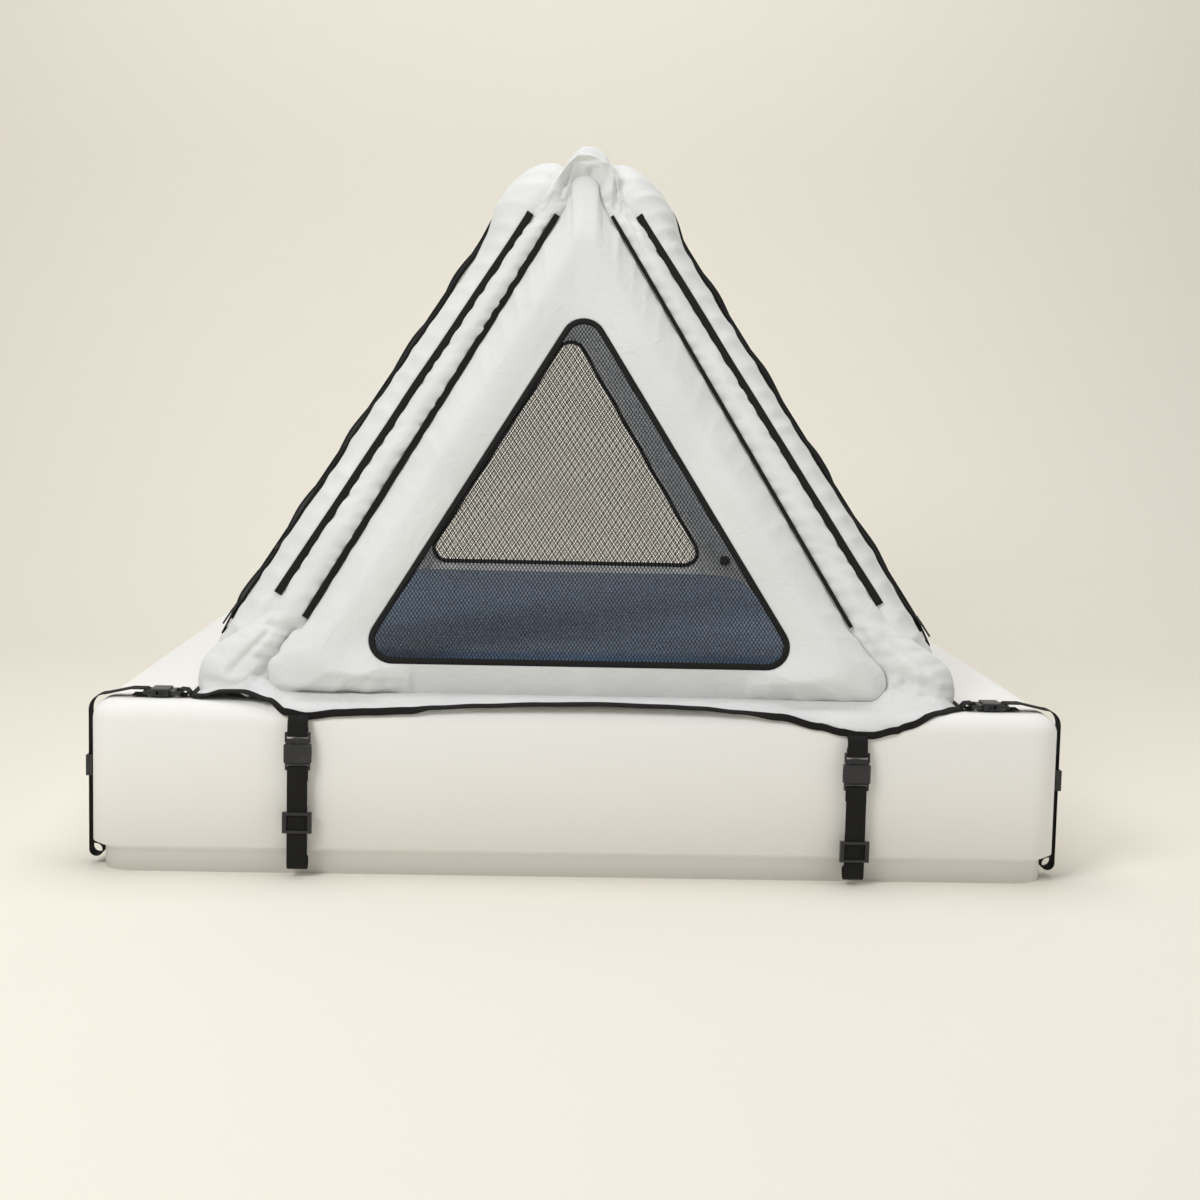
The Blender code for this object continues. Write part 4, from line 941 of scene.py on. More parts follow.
def strip_rows(corner, seed):
    rows = []
    a_run, b_run = corner.seams()
    down = lengths(a_run)
    for i, (a, b) in enumerate(zip(a_run, b_run)):
        height = (a.z + b.z) / 2
        # Near the bed the strip puffs out more, beside the tongue less, and under the hood it sinks in.
        foot = smooth((0.14 - height) / 0.11)
        top = smooth((height - 0.775) / 0.05)
        pocket = smooth((height - 0.835) / 0.035)
        wave = ripple((seed, 0.0, down[i] * 17), 1.0, seed)
        puff = (STRIP_PUFF + FOOT_PUFF * foot) * (1 - 0.72 * top)
        puff = puff + PUFF_WAVE * wave * (1 - 0.6 * top) - 0.006 * pocket
        end_pleat = gather(down[i], END_PLEATS[1], seed + 4)
        side_pleat = gather(down[i] + 0.011, SIDE_PLEATS[1], seed + 9)
        crumpled = STRIP_CRUMPLE + FOOT_CRUMPLE * foot
        face = corner.bulge.lerp(corner.end.out, top).normalized()
        row = []
        for j in range(STRIP_ACROSS + 1):
            t = j / STRIP_ACROSS
            arch = math.sin(math.pi * t) ** 0.75
            rise = puff * arch
            rise -= END_PLEATS[0] * end_pleat * smooth(t / 0.08) * smooth((0.62 - t) / 0.5)
            rise -= SIDE_PLEATS[0] * side_pleat * smooth((1 - t) / 0.08) * smooth((t - 0.45) / 0.4)
            point = between(a, b, t) + face * rise
            rumple = pucker((point.x * 21, point.y * 21, point.z * 15), 1.0, seed + 6) - 0.55
            point += face * (crumpled * rumple * smooth(t / 0.12) * smooth((1 - t) / 0.12))
            point += face * (placed_folds(point) * smooth(t / 0.05) * smooth((1 - t) / 0.05))
            row.append(point)
        rows.append(row)
    return rows


def tape_piece(name, path, faces, width, thickness, finish):
    """A flat tape: its path, the way its face looks at each point, its width and its thickness."""
    rows, flats = [], []
    run = lengths(path)
    for i, (point, face) in enumerate(zip(path, faces)):
        along = (path[min(i + 1, len(path) - 1)] - path[max(i - 1, 0)]).normalized()
        wide = along.cross(face).normalized()
        up = wide.cross(along).normalized()
        row, flat = [], []
        for s, h in ((-0.5, 0.15), (-0.47, 0.5), (-0.2, 0.5), (0.2, 0.5), (0.47, 0.5), (0.5, 0.15),
                     (0.5, -0.15), (0.47, -0.5), (0.0, -0.5), (-0.47, -0.5), (-0.5, -0.15)):
            row.append(point + wide * s * width + up * h * thickness)
            flat.append((s * width, run[i]))
        rows.append(row)
        flats.append(flat + [flat[0]])
    return face_out(grid_piece(name, rows, finish, loop_ring=True, cap=True, flats=flats))


def add_corner(corner, seed):
    node = corner.name + "_gusset"
    rows = strip_rows(corner, seed)
    strip = grid_piece(corner.name + "_strip", rows, SHELL)
    face_out(strip, Vector((0.0, 0.0, 0.4)))
    finish_piece(strip, "enclosure", "shell", node)
    add_corner_tapes(corner, seed, node)


def add_corner_tapes(corner, seed, node):
    """A tape on each seam of a corner. Seen from outside, the end frame's left one is the wider."""
    a_run, b_run = corner.seams()
    end_width = END_TAPE_WIDE if corner.right * corner.turn < 0 else END_TAPE_THIN
    for kind, seam, far_seam, width in (("end", a_run, b_run, end_width), ("side", b_run, a_run, SIDE_TAPE)):
        low, high = TAPE_SPANS[kind]
        path, faces = [], []
        for p, other in zip(seam, far_seam):
            if not low <= p.z <= high:
                continue
            sway = TAPE_SWAY * ripple((p.z * 11.0, seed, 0.0), 1.0, seed)
            if kind == "end":
                toward = (other - p).normalized()
                path.append(p + toward * width * 0.48 + corner.end.out * (END_TAPE_UP + sway))
                faces.append(corner.end.out - toward * 0.12)
            else:
                out = p + corner.side_out * (SIDE_TAPE_OUT + sway)
                path.append(out + corner.side.out * (SIDE_TAPE_UP + sway))
                faces.append(corner.side_out + corner.side.out * 0.35)
        tape = tape_piece(f"{corner.name}_{kind}_tape", path, faces, width, TAPE_THICKNESS, TAPE)
        finish_piece(tape, "enclosure", "tape", node)


for k, spec in enumerate(CORNERS):
    add_corner(Corner(*spec), 31.0 + 4.1 * k)

# %% [markdown]
# ## Ridge piece
# A strip of the same cloth closes the slot between the side frames. At each end it is gathered over the
# tongue of the end frame into a small hood that leans a little to one side, as soft cloth does.

# %% Ridge piece
# Height of the crest along the piece: (y, z).
CREST = ((-0.6180, 0.9055), (-0.6055, 0.9075), (-0.590, 0.9180), (-0.572, 0.9235), (-0.545, 0.9205),
         (-0.510, 0.9110), (-0.470, 0.9020), (-0.430, 0.8985), (-0.300, 0.8975), (0.0, 0.8975))
HOOD_ROWS, RIDGE_ROWS, RIDGE_ACROSS = 60, 44, 48
HOOD_BACK = -0.44
# Length over which the hood's edge fades into the plain ridge, its height, and its sideways lean.
HOOD_FADE, HOOD_HEIGHT, HOOD_LEAN = 0.085, 0.1055, 0.006


def crest_at(y):
    for (a, za), (b, zb) in zip(CREST, CREST[1:]):
        if y <= b:
            share = (y - a) / (b - a)
            return between(za, zb, smooth(share) * 0.5 + 0.5 * min(1.0, max(0.0, share)))
    return CREST[-1][1]


def ridge_seam():
    """The upper seam of a side frame: up its leg, round its corner and to the middle of the ridge."""
    half = SIDE.outer()[:BASE_STEPS + FOOT_STEPS + LEG_STEPS + TURN_STEPS + TOP_STEPS + 1]
    panel = PANELS["right"][1]
    low = panel.point(-SIDE.edge_at(STRIP_TOP)[0], SIDE.edge_at(STRIP_TOP)[1])
    run = [low] + [panel.point(-p.x, p.y) for p in half if p.y * math.cos(SIDE_LEAN) > STRIP_TOP + 0.001]
    near = [p for p in run if p.y < HOOD_BACK]
    far = [near[-1]] + [p for p in run if p.y >= HOOD_BACK]
    return spaced(near, HOOD_ROWS) + spaced(far, RIDGE_ROWS)[1:]


def add_ridge():
    edge = curve(HOOD_LEFT, RIDGE_ACROSS // 2)[:-1] + list(reversed(curve(HOOD_RIGHT, RIDGE_ACROSS // 2)))
    seam = ridge_seam()
    half_rows = []
    for right in seam:
        left = Vector((-right.x, right.y, right.z))
        plain = smooth((right.y - seam[0].y) / HOOD_FADE)
        lift = crest_at(right.y) - right.z
        row = []
        for j in range(RIDGE_ACROSS + 1):
            t = j / RIDGE_ACROSS
            own = edge[j] - between(edge[0], edge[-1], t)
            arch = 1 - abs(2 * t - 1) ** 2.1
            rise = between(own.z / HOOD_HEIGHT, arch, plain) * lift
            aside = own.x * (1 - plain) + HOOD_LEAN * plain * arch * (lift / 0.03)
            row.append(between(left, right, t) + Vector((aside, own.y * (1 - plain), rise)))
        half_rows.append(row)
    far_rows = [[Vector((-p.x, -p.y, p.z)) for p in reversed(row)] for row in reversed(half_rows[:-1])]
    rows = half_rows + far_rows

    def gathers(i, j, point):
        end = smooth((abs(point.y) - 0.46) / 0.10)
        inside = smooth(min(i, len(rows) - 1 - i) / 5) * smooth(min(j, RIDGE_ACROSS - j) / 3)
        flat = (point.x * 26.0, point.y * 8.0, point.z * 8.0)
        return inside * (end * 0.0042 * ripple(flat, 1.0, 5.0) + 0.0012 * ripple(point, 16.0, 9.0))

    obj = grid_piece("ridge_piece", push(rows, gathers), SHELL)
    face_out(obj, Vector((0.0, 0.0, 0.4)))
    finish_piece(obj, "enclosure", "shell", "ridge_gusset")


add_ridge()

# %% [markdown]
# ## Windows
# Each end frame is closed by a net that shows the far wall through it. Its edge is bound in black tape under
# a second layer of the net. The net is a single sheet whose holes are cut by its material, because some ten
# thousand real holes would be too heavy.


# %% Nets and bindings
NET_STEPS = 22
RIM_CLEAR, NET_INSET = 0.0005, 0.006
WINDOW_BINDING_HALF, DOOR_BINDING_HALF = 0.0022, 0.0013
WINDOW_SLACK = 0.0030


def net_sheet(name, panel, rim, level, bulge, finish, body, slot, node):
    """A sheet from its rim to its middle, drawn flat on a panel and lifted by bulge(point, share)."""
    centre = Vector((0.0, sum(p.y for p in rim) / len(rim)))
    rows, flats = [], []
    for k in range(NET_STEPS + 1):
        share = max(1 - k / NET_STEPS, 0.004)
        row, flat = [], []
        for p in rim:
            q = centre + (p - centre) * share
            row.append(panel.point(q.x, q.y, level + bulge(q, share)))
            flat.append((q.x, q.y))
        rows.append(row)
        flats.append(flat + [flat[0]])
    obj = grid_piece(name, rows, finish, loop_ring=True, flats=flats)
    face_out(obj, Vector((0.0, 0.0, 0.3)))
    finish_piece(obj, body, slot, node)


def binding_ring(name, panel, outer, inner, level, half, finish, lift=lambda q: 0.0):
    """A padded edge between two outlines, rounded over."""
    section = ((0.0, -0.6), (0.0, 0.6), (0.12, 0.95), (0.35, 1.1), (0.65, 1.1), (0.88, 0.95), (1.0, 0.5),
               (1.0, -0.5), (0.85, -1.0), (0.5, -1.1), (0.15, -1.0))
    rows, flats = [], []
    for p, q in zip(outer, inner):
        row, flat = [], []
        for share, rise in section:
            r = between(p, q, share)
            row.append(panel.point(r.x, r.y, level + rise * half + lift(r)))
            flat.append((r.x, r.y))
        rows.append(row)
        flats.append(flat + [flat[0]])
    flats.append(flats[0])
    return face_out(grid_piece(name, rows, finish, loop_rows=True, loop_ring=True, flats=flats))


def add_window(name):
    shape, panel = PANELS[name]
    rim, edge = shape.inner(RIM_CLEAR), shape.inner(RIM_CLEAR + BINDING_WIDTH)

    def slack(q, share):
        return WINDOW_SLACK * (1 - share) * (1 + 0.6 * ripple((q.x * 6, q.y * 6, 0), 1.0, 3.0))

    net_sheet(name + "_window_net", panel, shape.inner(NET_INSET), shape.seat, slack, NET, "enclosure",
              "mesh", name + "_window")
    ring = binding_ring(name + "_window_binding", panel, rim, edge, shape.seat, WINDOW_BINDING_HALF,
                        BOUND_NET)
    finish_piece(ring, "enclosure", "tape", name + "_window")


for name in ("front", "rear"):
    add_window(name)

# %% [markdown]
# ## Doors and zips
# Each side has a net door that bellies outwards between its zip and the sill. The zip is a black tape that
# runs up one leg, along the top and down the other, with a nylon coil down its middle.
# Geometry Nodes set the coil, because one tooth repeats many hundreds of times along a path.

# %% Zip path
DOOR_LEVEL = 0.0490
ZIP_STAND = 0.0022
DOOR_HANG = 0.007
DOOR_STAND, DOOR_RISE = 0.0020, 0.0050
ZIP_TOP_RISE = 0.007
ZIP_TILT = math.radians(56.0)
ZIP_WAVE = 0.172
ZIP_OUT, ZIP_SWAY = 0.0030, 0.0016
DOOR_TURN, DOOR_EDGE = 14, 60


def door_edge(extra):
    """Outline of a door, which starts inside the zip's tape and clear of the sill."""
    step = ZIP_WIDTH - ZIP_OVERLAP + RIM_CLEAR + extra
    band = SIDE_BAND + step
    corners = inset(SIDE.corners(), [band, band, band, SIDE_SILL - SIDE.low + DOOR_HEM_CLEARANCE + extra])
    radius = max(0.012, DOOR_RADIUS - step)
    return outline(corners, [radius] * 4, [DOOR_TURN] * 4, [DOOR_EDGE] * 4)


def near_top(v):
    """From 0 to 1 where a zip comes to the top of its opening."""
    return smooth((v - 0.85) / 0.08)


def zip_lines(panel, seed):
    """Middle line of the zip on one side, and which way its face looks. It stands up and sways."""
    start = BASE_STEPS + FOOT_STEPS
    points = SIDE.inner(ZIP_WIDTH / 2 - ZIP_OVERLAP)
    points = points[start:len(points) - start + 1]
    run = lengths(points)
    path, faces = [], []
    for i, p in enumerate(points):
        along = (points[min(i + 1, len(points) - 1)] - points[max(i - 1, 0)]).normalized()
        outer = panel.across * along.y - panel.up * along.x
        near_end = smooth(min(run[i], run[-1] - run[i]) / 0.05)
        sway = math.sin(math.tau * (run[i] / ZIP_WAVE + 0.28 * ripple((run[i] * 4, seed, 0.0), 1.0, seed)))
        rise = ZIP_STAND + 0.0026 * sway + 0.0008 * ripple((run[i] * 30, seed, 1.0), 1.0, seed)
        rise += ZIP_TOP_RISE * near_top(p.y)
        point = panel.point(p.x, p.y, DOOR_LEVEL + rise * near_end)
        path.append(point + outer * (ZIP_OUT + ZIP_SWAY * sway) * near_end)
        tilt = ZIP_TILT * (0.45 + 0.55 * near_end) + 0.20 * sway
        faces.append(panel.out * math.cos(tilt) + outer * math.sin(tilt))
    return path, faces


# %% Tooth tree
TOOTH_HALF_WIDTH, TOOTH_HALF_LENGTH, TOOTH_HEIGHT = 0.0024, 0.00062, 0.0012
TOOTH_PITCH = 0.0024


def tooth_mesh():
    mesh = bpy.data.meshes.new("zip_tooth")
    points = []
    for x in (-1, 1):
        for y, z in ((-1, 0.0), (1, 0.0), (0.7, 1.0), (-0.7, 1.0)):
            points.append((x * TOOTH_HALF_WIDTH, y * TOOTH_HALF_LENGTH, z * TOOTH_HEIGHT))
    faces = [(0, 3, 2, 1), (4, 5, 6, 7), (0, 1, 5, 4), (1, 2, 6, 5), (2, 3, 7, 6), (3, 0, 4, 7)]
    mesh.from_pydata(points, [], faces)
    tooth = bpy.data.objects.new("zip_tooth", mesh)
    bpy.context.scene.collection.objects.link(tooth)
    return tooth


def repeat_tree(name, unit, finish):
    """Geometry Nodes that set copies of one small piece along a path, with their face along a normal."""
    tree = bpy.data.node_groups.new(name, "GeometryNodeTree")
    tree.interface.new_socket("Path", in_out="INPUT", socket_type="NodeSocketGeometry")
    spacing = tree.interface.new_socket("Spacing", in_out="INPUT", socket_type="NodeSocketFloat")
    spacing.default_value = 0.002
    tree.interface.new_socket("Pieces", in_out="OUTPUT", socket_type="NodeSocketGeometry")
    graph = Graph(tree)
    start, end = graph.add("NodeGroupInput"), graph.add("NodeGroupOutput")
    curve = graph.add("GeometryNodeMeshToCurve", {"Mesh": start.outputs["Path"]})
    fixed = graph.add("GeometryNodeResampleCurve", mode="LENGTH")
    graph.put(fixed.inputs["Curve"], curve)
    graph.put(fixed.inputs["Length"], start.outputs["Spacing"])
    info = graph.add("GeometryNodeObjectInfo")
    info.inputs["Object"].default_value = unit
    facing = graph.add("GeometryNodeInputNamedAttribute", data_type="FLOAT_VECTOR")
    facing.inputs["Name"].default_value = "facing"
    first = graph.add("FunctionNodeAlignRotationToVector", {"Vector": facing.outputs["Attribute"]}, axis="Z")
    tangent = graph.add("GeometryNodeInputTangent")
    turned = graph.add("FunctionNodeAlignRotationToVector", {"Rotation": first, "Vector": tangent},
                       axis="Y", pivot_axis="Z")
    placed = graph.add("GeometryNodeInstanceOnPoints", {
        "Points": fixed, "Instance": info.outputs["Geometry"], "Rotation": turned})
    real = graph.add("GeometryNodeRealizeInstances", {"Geometry": placed})
    painted = graph.add("GeometryNodeSetMaterial", {"Geometry": real})
    painted.inputs["Material"].default_value = finish
    graph.put(end.inputs["Pieces"], painted.outputs[0])
    return tree, spacing.identifier


def repeat_along(name, path, faces, tree, spacing_id, spacing):
    """Run the tree on a path and keep the result as a plain mesh."""
    mesh = bpy.data.meshes.new(name + "_path")
    mesh.from_pydata(path, [(i, i + 1) for i in range(len(path) - 1)], [])
    facing = mesh.attributes.new("facing", "FLOAT_VECTOR", "POINT")
    facing.data.foreach_set("vector", [value for face in faces for value in face])
    holder = bpy.data.objects.new(name, mesh)
    bpy.context.scene.collection.objects.link(holder)
    modifier = holder.modifiers.new("repeat", "NODES")
    modifier.node_group = tree
    modifier[spacing_id] = spacing
    bpy.context.view_layer.update()
    graph = bpy.context.evaluated_depsgraph_get()
    made = bpy.data.meshes.new_from_object(holder.evaluated_get(graph))
    holder.modifiers.remove(modifier)
    made.name = name
    holder.data = made
    bpy.data.meshes.remove(mesh)
    return holder


tooth = tooth_mesh()
tooth_tree, tooth_spacing = repeat_tree("teeth_along_a_path", tooth, TEETH)


# %% Doors, zips and sliders
def add_zip(name, seed):
    path, faces = zip_lines(PANELS[name][1], seed)
    tape = tape_piece(name + "_zip_tape", path, faces, ZIP_WIDTH, TAPE_THICKNESS, TAPE)
    finish_piece(tape, "enclosure", "tape", name + "_door_zip")
    raised = [p + f * (TAPE_THICKNESS / 2) for p, f in zip(path, faces)]
    coil = repeat_along(name + "_zip_coil", raised, faces, tooth_tree, tooth_spacing, TOOTH_PITCH)
    finish_piece(coil, "enclosure", "plastic", name + "_door_zip")
    print(coil.name, "has", len(coil.data.polygons) // 6, "teeth")


def add_door(name, seed, foot_side):
    panel = PANELS[name][1]
    rim, edge = door_edge(0.0), door_edge(BINDING_WIDTH)
    low = DOOR_LEVEL + DOOR_STAND
    sill = min(p.y for p in rim)

    def lift(q):
        clear_of_sill = DOOR_RISE * smooth((q.y - sill - 0.012) / 0.06)
        return clear_of_sill + ZIP_TOP_RISE * 0.8 * near_top(q.y)

    def belly(q, share):
        # The net hangs out most near the bed, a little before the foot-end leg.
        near = foot_side * q.x
        spread = ((near - 0.60) / 0.13) ** 2 + ((q.y - 0.17) / 0.11) ** 2
        hang = math.exp(-spread) * smooth((1 - share) / 0.16)
        slack = (1 - share ** 2.2) * (0.005 + 0.003 * ripple((q.x * 7, q.y * 7, 0), 1.0, seed))
        return lift(q) + DOOR_HANG * hang + slack

    net_sheet(name + "_door_net", panel, door_edge(NET_INSET), low, belly, NET, name + "_door_panel",
              "mesh", name + "_door")
    ring = binding_ring(name + "_door_binding", panel, rim, edge, low, DOOR_BINDING_HALF, TAPE, lift)
    finish_piece(ring, name + "_door_panel", "tape", name + "_door")


for k, (name, foot_side) in enumerate((("left", 1), ("right", -1))):
    add_zip(name, 51.0 + k)
    add_door(name, 61.0 + k, foot_side)
bpy.data.objects.remove(tooth, do_unlink=True)

# %% [markdown]
# ## Ground sheet and hem
# The sheet lies flat under the mat and comes out from under the sleeves as a soft apron. Its edge is bound in
# black tape, which waves: it lifts off the bed beside the corner and is pulled over the edge at each strap.

# %% Lie of the hem
# Along the foot end: place across, how far the hem stands out from its cut line, and its height.
FOOT_HEM = (
    (-0.62, 0.0, 0.004), (-0.602, 0.0, 0.005), (-0.57, 0.0, 0.015), (-0.533, 0.0, 0.015),
    (-0.49, 0.001, 0.005), (-0.461, 0.004, -0.013), (-0.429, 0.005, -0.019), (-0.376, 0.004, -0.013),
    (-0.334, 0.003, -0.011), (-0.265, 0.002, -0.008), (-0.23, 0.001, -0.002), (-0.157, 0.0, 0.002),
    (-0.062, 0.0, 0.006), (0.032, 0.0, 0.008), (0.127, 0.0, 0.006), (0.19, 0.0, 0.004),
    (0.254, 0.001, -0.001), (0.317, 0.003, -0.008), (0.381, 0.005, -0.022), (0.416, 0.006, -0.030),
    (0.44, 0.007, -0.034), (0.466, 0.009, -0.034), (0.50, 0.018, -0.026), (0.54, 0.024, -0.016),
    (0.58, 0.016, -0.001), (0.606, 0.0, 0.004), (0.62, 0.0, 0.004),
)
BED_EDGE, BED_ROUND = 1.003, 0.030
SHEET_LEVEL, CLOTH_CLEAR = 0.0022, 0.0020
HEM_RADIUS = 0.030


def foot_hem(x):
    """How far the hem stands out at the foot end, and its height."""
    for (a, oa, za), (b, ob, zb) in zip(FOOT_HEM, FOOT_HEM[1:]):
        if a <= x <= b:
            share = smooth((x - a) / (b - a))
            return between(oa, ob, share), between(za, zb, share)
    return 0.0, 0.004


def hem_lie(x, y):
    """How far the hem stands out towards its end of the bed, and its height."""
    if y < 0:
        out, foot = foot_hem(x)
        near = smooth((-y - 0.93) / 0.05)
    else:
        drop = max(0.0, 1 - abs(abs(x) - END_STRAP_AT) / 0.10)
        out, foot = 0.005 * smooth(drop), 0.002 - 0.020 * smooth(drop)
        near = smooth((y - 0.93) / 0.05)
    side = 0.004 + 0.003 * ripple((x * 3, y * 9, 0), 1.0, 71.0)
    tie = max(0.0, 1 - abs(abs(y) - SIDE_STRAP_AT) / 0.08)
    side = between(side, 0.002, smooth(tie))
    return out * smooth((abs(y) - 0.90) / 0.05), between(side, foot, near)


def bed_top(y, clear):
    """Height just clear of the bed's top, which rounds over at its foot and head ends."""
    inside = BED_EDGE - abs(y)
    if inside >= BED_ROUND:
        return clear
    if inside <= -clear:
        return -1.0
    return -BED_ROUND + math.sqrt((BED_ROUND + clear) ** 2 - (BED_ROUND - inside) ** 2)


def hem_run(extra):
    """The sheet's cut outline with its four corners taken off, larger by extra."""
    right = [(HEM_END_HALF, -HEM_HALF_LENGTH), (HEM_HALF_WIDTH, -HEM_SIDE_HALF),
             (HEM_HALF_WIDTH, HEM_SIDE_HALF), (HEM_END_HALF, HEM_HALF_LENGTH)]
    corners = inset(right + [(-x, y) for x, y in reversed(right)], [-extra] * 8)
    edges = [30, 140, 30, 100, 30, 140, 30, 100]
    return outline(corners, [max(0.002, HEM_RADIUS + extra)] * 8, [8] * 8, edges)


def on_bed(p, away):
    """Place of the sheet's cloth whose cut place is p, at a distance from the hem."""
    out, edge = hem_lie(p.x, p.y)
    y = p.y + math.copysign(out * (1 - smooth(away / 0.06)), p.y)
    fade = 1 - smooth(away / 0.085)
    # Between the hem and the sleeves the cloth rises in a low hump, highest at the corners.
    corner = smooth((abs(p.x) - 0.47) / 0.07) * smooth((abs(p.y) - 0.80) / 0.09)
    side = smooth((abs(p.x) - 0.47) / 0.05) * (1 - corner)
    end = (1 - corner) * smooth((abs(p.y) - 0.85) / 0.05)
    skirt = (0.040 * corner + 0.012 * side + 0.009 * end) * smooth(away / 0.065)
    skirt *= 1 - smooth((away - 0.072) / 0.045)
    crease = max(0.0, 0.0030 * fade * pucker((p.x * 13, p.y * 13, 0.0), 1.0, 77.0)) * smooth(away / 0.02)
    z = SHEET_LEVEL + (edge - 0.002) * fade + crease + skirt
    point = Vector((p.x, y, max(z, bed_top(y, CLOTH_CLEAR))))
    point.z += placed_folds(point, -0.86) * smooth(away / 0.02)
    return point


# %% Sheet and binding
SHEET_RINGS = (0.0, 0.004, 0.008, 0.012, 0.017, 0.022, 0.028, 0.034, 0.041, 0.048, 0.056, 0.064, 0.072,
               0.080, 0.090, 0.100, 0.112, 0.130)
HEM_TAPE_HALF, HEM_TAPE_THICK = 0.0088, 0.0011
HEM_SECTION = ((-0.9, 1.0), (-0.6, 1.15), (0.0, 1.2), (0.32, 1.0), (0.45, 0.4), (0.45, -0.4), (0.32, -1.0),
               (0.0, -1.1), (-0.6, -1.1), (-0.9, -1.0))


def add_sheet():
    rows = [[on_bed(p, away) for p in hem_run(-away)] for away in SHEET_RINGS]
    flat_ring = rows[-1]
    for share in (0.75, 0.5, 0.25, 0.01):
        rows.append([Vector((p.x * share, p.y * share, SHEET_LEVEL)) for p in flat_ring])
    flats = [[(p.x, p.y) for p in row + row[:1]] for row in rows]
    obj = grid_piece("ground_sheet_cloth", rows, SHEET, loop_ring=True, flats=flats)
    face_out(obj, Vector((0.0, 0.0, -1.0)))
    finish_piece(obj, "enclosure", "sheet", "ground_sheet")


def add_hem():
    run = hem_run(RIM_CLEAR)
    path = [on_bed(p, 0.0) + Vector((0.0, 0.0, 0.0006)) for p in run]
    count = len(path)
    rows, flats = [], []
    down = lengths(path + path[:1])
    for i, p in enumerate(path):
        along = (path[(i + 1) % count] - path[i - 1]).normalized()
        flat_out = Vector((run[i].x, run[i].y, 0.0))
        side = along.cross(Vector((0.0, 0.0, 1.0))).normalized()
        if side.dot(flat_out) < 0:
            side.negate()
        drop = smooth(-p.z / 0.012)
        out = (side * (1 - 0.75 * drop) - Vector((0.0, 0.0, 0.9 * drop + 0.35))).normalized()
        up = along.cross(out).normalized()
        if up.z < 0 and up.dot(side) < 0:
            up.negate()
        row, flat = [], []
        for s, h in HEM_SECTION:
            row.append(p + out * s * HEM_TAPE_HALF + up * h * HEM_TAPE_THICK)
            flat.append((s * HEM_TAPE_HALF, down[i]))
        rows.append(row)
        flats.append(flat + [flat[0]])
    flats.append([(s, down[-1]) for s, _ in flats[0]])
    obj = grid_piece("hem_tape", rows, TAPE, loop_rows=True, loop_ring=True, flats=flats)
    face_out(obj)
    finish_piece(obj, "enclosure", "tape", "hem_binding")


add_sheet()
add_hem()

# %% [markdown]
# ## Sleeping mat
# The mat is stuffed, so its cloth is swelled by a cloth simulation: the solid is remeshed, blown up a little
# from inside with gravity off, and its movement is capped so that it stays where the solid is.


# %% Simulate the mat
MAT_VOXEL = 0.011
MAT_PRESSURE = 4.0
MAT_FRAMES = 15
MAT_MOST_MOVE = 0.010
MAT_LOW = 0.0024


def merged_copy(node, name):
    """A copy of a solid whose doubled points are welded."""
    mesh = nodes[node].data.copy()
    mesh.name = name
    obj = bpy.data.objects.new(name, mesh)
    bpy.context.scene.collection.objects.link(obj)
    weld = obj.modifiers.new("weld", "WELD")
    weld.merge_threshold = 0.00005
    return obj


def bake_modifiers(obj):
    """Keep the shape that the modifiers give, and take them off."""
    bpy.context.view_layer.update()
    graph = bpy.context.evaluated_depsgraph_get()
    made = bpy.data.meshes.new_from_object(obj.evaluated_get(graph))
    obj.modifiers.clear()
    old, obj.data = obj.data, made
    bpy.data.meshes.remove(old)


def add_mat():
    obj = merged_copy("sleeping_mat", "sleeping_mat_cloth")
    remesh = obj.modifiers.new("remesh", "REMESH")
    remesh.mode = "VOXEL"
    remesh.voxel_size = MAT_VOXEL
    bake_modifiers(obj)
    start = [v.co.copy() for v in obj.data.vertices]
    cloth = obj.modifiers.new("swell", "CLOTH")
    settings = cloth.settings
    settings.use_pressure = True
    settings.uniform_pressure_force = MAT_PRESSURE
    settings.effector_weights.gravity = 0.0
    settings.quality = 4
    scene = bpy.context.scene
    for step in range(1, MAT_FRAMES):
        scene.frame_set(step)
    bake_modifiers(obj)
    scene.frame_set(1)
    for vertex, before in zip(obj.data.vertices, start):
        move = vertex.co - before
        if move.length > MAT_MOST_MOVE:
            move *= MAT_MOST_MOVE / move.length
        vertex.co = before + move
        vertex.co.z = max(MAT_LOW, vertex.co.z)
    obj.data.materials.clear()
    obj.data.materials.append(MAT)
    obj.data.shade_smooth()
    obj.data.uv_layers.new(name="cloth")
    finish_piece(obj, "enclosure", "mat", "sleeping_mat")
    print("the mat has", len(obj.data.vertices), "points")


add_mat()

# %% [markdown]
# ## Straps
# Flat straps are modelled directly, since a simulation would wipe out a strip this thin. Each runs from the
# buckle body down the side of the bed, round the rail, and back up behind itself to the tri-glide.


# %% Webbing
# Where the straps' first bars and hanging plies are, out from the hem and up from the bed.
END_BAR_OUT, SIDE_BAR_UP, SIDE_PLY_OUT = 0.0175, 0.0080, 0.160
BED_BEND = 0.026
WEB_STEP = 0.006


